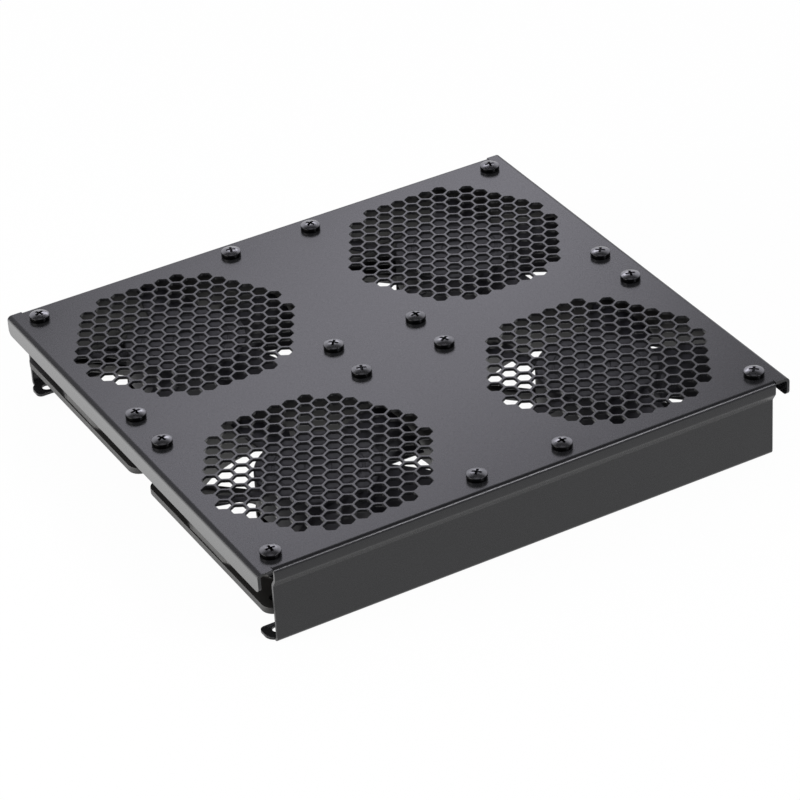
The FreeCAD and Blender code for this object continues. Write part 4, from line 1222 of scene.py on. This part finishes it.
def socket_outline(inset, radius):
    """The mouth of the socket, with its two upper corners cut off."""
    x, y = (half - socket_wall - inset for half in body_half)
    cut = socket_chamfer - inset * 0.4
    right_half = [(x, -y), (x, y - cut), (x - cut, y)]
    return rounded_outline(right_half + [(-x, y) for x, y in reversed(right_half)], radius)


inlet_bm = bmesh.new()
body_depth = inlet_back - panel_face
body_loop = loop_at(inlet_bm, oblong(body_half, 0, body_corner), 0.0)
outer_rim = [loop_at(inlet_bm, oblong(rim_half, inset, rim_corner - inset), z)
             for inset, z in ((0.1, 0.0), (0, 0.1), (0, rim_thickness - rim_round),
                              (rim_round * 0.12, rim_thickness - rim_round * 0.5),
                              (rim_round * 0.5, rim_thickness - rim_round * 0.12),
                              (rim_round, rim_thickness))]
loft(inlet_bm, outer_rim)
fill_flat(inlet_bm, outer_rim[0], [body_loop])
socket_floor = body_depth + socket_back
mouth = [loop_at(inlet_bm, socket_outline(inset, radius), z)
         for inset, radius, z in ((-0.45, 1.2, rim_thickness), (0, 0.9, rim_thickness - 0.5),
                                  (0, 0.9, socket_floor + 0.6), (0.5, 0.6, socket_floor))]
loft(inlet_bm, mouth)
fill_flat(inlet_bm, outer_rim[-1], [mouth[0]])
fill_flat(inlet_bm, mouth[-1])
walls = [body_loop, loop_at(inlet_bm, oblong(body_half, 0, body_corner), body_depth + body_edge),
         loop_at(inlet_bm, oblong(body_half, body_edge, 0.3), body_depth)]
loft(inlet_bm, walls)
fill_flat(inlet_bm, walls[-1])
for side in (-1, 1):
    snap = bmesh.new()
    root, tip = body_half[1] - body_edge, body_half[1] + snap_height
    section = [(root, snap_start), (tip, snap_start), (tip, snap_start - 0.5), (root, snap_end)]
    loft(snap, [[snap.verts.new((x, side * y, z)) for y, z in section] for x in (-snap_half, snap_half)],
         capped=True)
    joined(inlet_bm, snap)


def stand_upright(bm, front, middle):
    """Turns a shape's depth to the rear, and lifts it to its middle height."""
    bm.transform(Matrix(((1, 0, 0, 0), (0, 0, 1, front), (0, 1, 0, middle), (0, 0, 0, 1))))


stand_upright(inlet_bm, panel_face, (inlet_high + inlet_low) / 2)
thermoplastic = textured("inlet_thermoplastic", thermoplastic_colour, 0.33, grain=0.6, bump=0.08)
inlet = piece_from(closed_mesh(inlet_bm), "appliance_inlet", thermoplastic, smooth=32)
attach(inlet, "tray")
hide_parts("power_inlet")
kept_node("inlet_pins", textured("nickel_plate", nickel_colour, 0.20, metal=1.0, bump=0.04), 0.5)

# The boot over the back of the inlet: soft black PVC, ribbed, pushed over the pins' ends, with a
# collar round each lead.
boot_front, boot_back = span("inlet_boot", "y")
boot_low, boot_high = span("inlet_boot", "z")
boot_half = (span("inlet_boot", "x")[1], (boot_high - boot_low) / 2)
boot_round = 1.6
boot_corner = 2.0
boot_ribs = 3
boot_rib_start = 1.2
boot_rib_step = 2.6
boot_rib_fall = 0.45
boot_rib_edge = 0.3
boot_rib_width = 1.3
lead_lanes = (-11.65, -4.0, 4.0, 11.65)
lead_height = 2.0
earth_entry = (9.0, -6.0, 1.25)
collar_length = 2.2
collar_clearance = 0.05
soft_colour = (0.020, 0.020, 0.021)
boot_bm = bmesh.new()
levels = [(boot_round, 0.0), (boot_round * 0.4, boot_round * 0.1), (boot_round * 0.1, boot_round * 0.4),
          (0, boot_round)]
for rib in range(boot_ribs):
    start = boot_round + boot_rib_start + rib * boot_rib_step
    levels += [(0, start), (boot_rib_fall, start + boot_rib_edge),
               (boot_rib_fall, start + boot_rib_width - boot_rib_edge), (0, start + boot_rib_width)]
levels.append((0, boot_back - boot_front))
skin = [loop_at(boot_bm, oblong(boot_half, inset, boot_corner - inset * 0.5), z) for inset, z in levels]
loft(boot_bm, skin)
fill_flat(boot_bm, skin[0])
fill_flat(boot_bm, skin[-1])
for x, y, radius in [(x, lead_height, lead_radius) for x in lead_lanes] + [earth_entry]:
    collar = bmesh.new()
    hole = radius + collar_clearance
    turned(collar, [(hole, 0.3), (hole, -collar_length), (hole + 0.35, -collar_length),
                    (hole + 0.55, -collar_length + 0.3), (hole + 0.9, -0.3), (hole + 1.3, 0.3)],
           sleeve_steps)
    joined(boot_bm, collar, Matrix.Translation((x, y, 0)))
stand_upright(boot_bm, boot_front, (boot_high + boot_low) / 2)
soft_pvc = textured("soft_pvc", soft_colour, 0.5, grain=0.7, bump=0.15)
boot = piece_from(closed_mesh(boot_bm), "ribbed_boot", soft_pvc, smooth=32)
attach(boot, "tray")
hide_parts("inlet_boot")

# The earth connection: a steel stud welded inside the rear apron, a plated nut on it, and under
# the nut the crimped ring lug of a green and yellow lead.
stud_front, stud_back = span("earth_stud", "y")
stud_x = sum(span("earth_stud", "x")) / 2
stud_z = sum(span("earth_stud", "z")) / 2
stud_root = 1.2
stud_chamfer = 0.1
nut_front, nut_back = span("earth_nut", "y")
lug_thickness = 0.8
lug_clearance = 0.02
stripe_reach = 0.62
zinc_colour = (0.52, 0.54, 0.56)
sheath_green = (0.02, 0.16, 0.03)
stripe_yellow = (0.70, 0.55, 0.03, 1)
lug_tin = (0.60, 0.60, 0.60, 1)
outward = Matrix.Rotation(-pi / 2, 4, "X")
stud_bm = bmesh.new()
turned(stud_bm, [(0, 0), (shank_radius, 0), (shank_radius, -stud_root),
                 (shank_radius - thread_depth, -stud_root - stud_chamfer),
                 (0, -stud_root - stud_chamfer)], shank_steps, closed=False)
thread(stud_bm, shank_radius, stud_front - stud_back, -stud_root)
zinc = textured("zinc_plate", zinc_colour, 0.32, metal=1.0, grain=0.3, bump=0.08, tone=0.12,
                rough_spread=0.08)
stud = piece_from(closed_mesh(stud_bm, weld=1e-5), "threaded_stud", zinc, smooth=30,
                  places=[Matrix.Translation((stud_x, stud_back, stud_z)) @ outward])
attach(stud, "tray")
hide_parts("earth_stud")
earth_nut = piece_from(hexagon_nut(nut_back - nut_front), "earth_stud_nut", zinc, smooth=25,
                       places=[Matrix.Translation((stud_x, nut_front, stud_z)) @ outward])
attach(earth_nut, "tray")
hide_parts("earth_nut")
striped = textured("green_and_yellow", sheath_green, 0.38, grain=0.5, bump=0.06)
earth_tree = striped.node_tree
along = add_node(earth_tree, "SeparateXYZ", {0: earth_tree.nodes["Texture Coordinate"].outputs["Object"]})
upright = add_node(earth_tree, "Math", {0: facing_up(earth_tree)}, operation="ABSOLUTE")
stripe = add_node(earth_tree, "Math", {0: upright, 1: stripe_reach}, operation="GREATER_THAN")
lug_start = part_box("earth_lead")[1].y - (lug_thickness + lug_clearance) * MM
metal = add_node(earth_tree, "Math", {0: along.outputs["Y"], 1: lug_start}, operation="GREATER_THAN")
sheath = add_node(earth_tree, "MixRGB", {"Fac": stripe, "Color1": earth_tree.nodes["Color Ramp"],
                                         "Color2": stripe_yellow})
whole = add_node(earth_tree, "MixRGB", {"Fac": metal, "Color1": sheath, "Color2": lug_tin})
feed(earth_tree, earth_tree.nodes["Principled BSDF"], {"Base Color": whole, "Metallic": metal})
kept_node("earth_lead", striped)
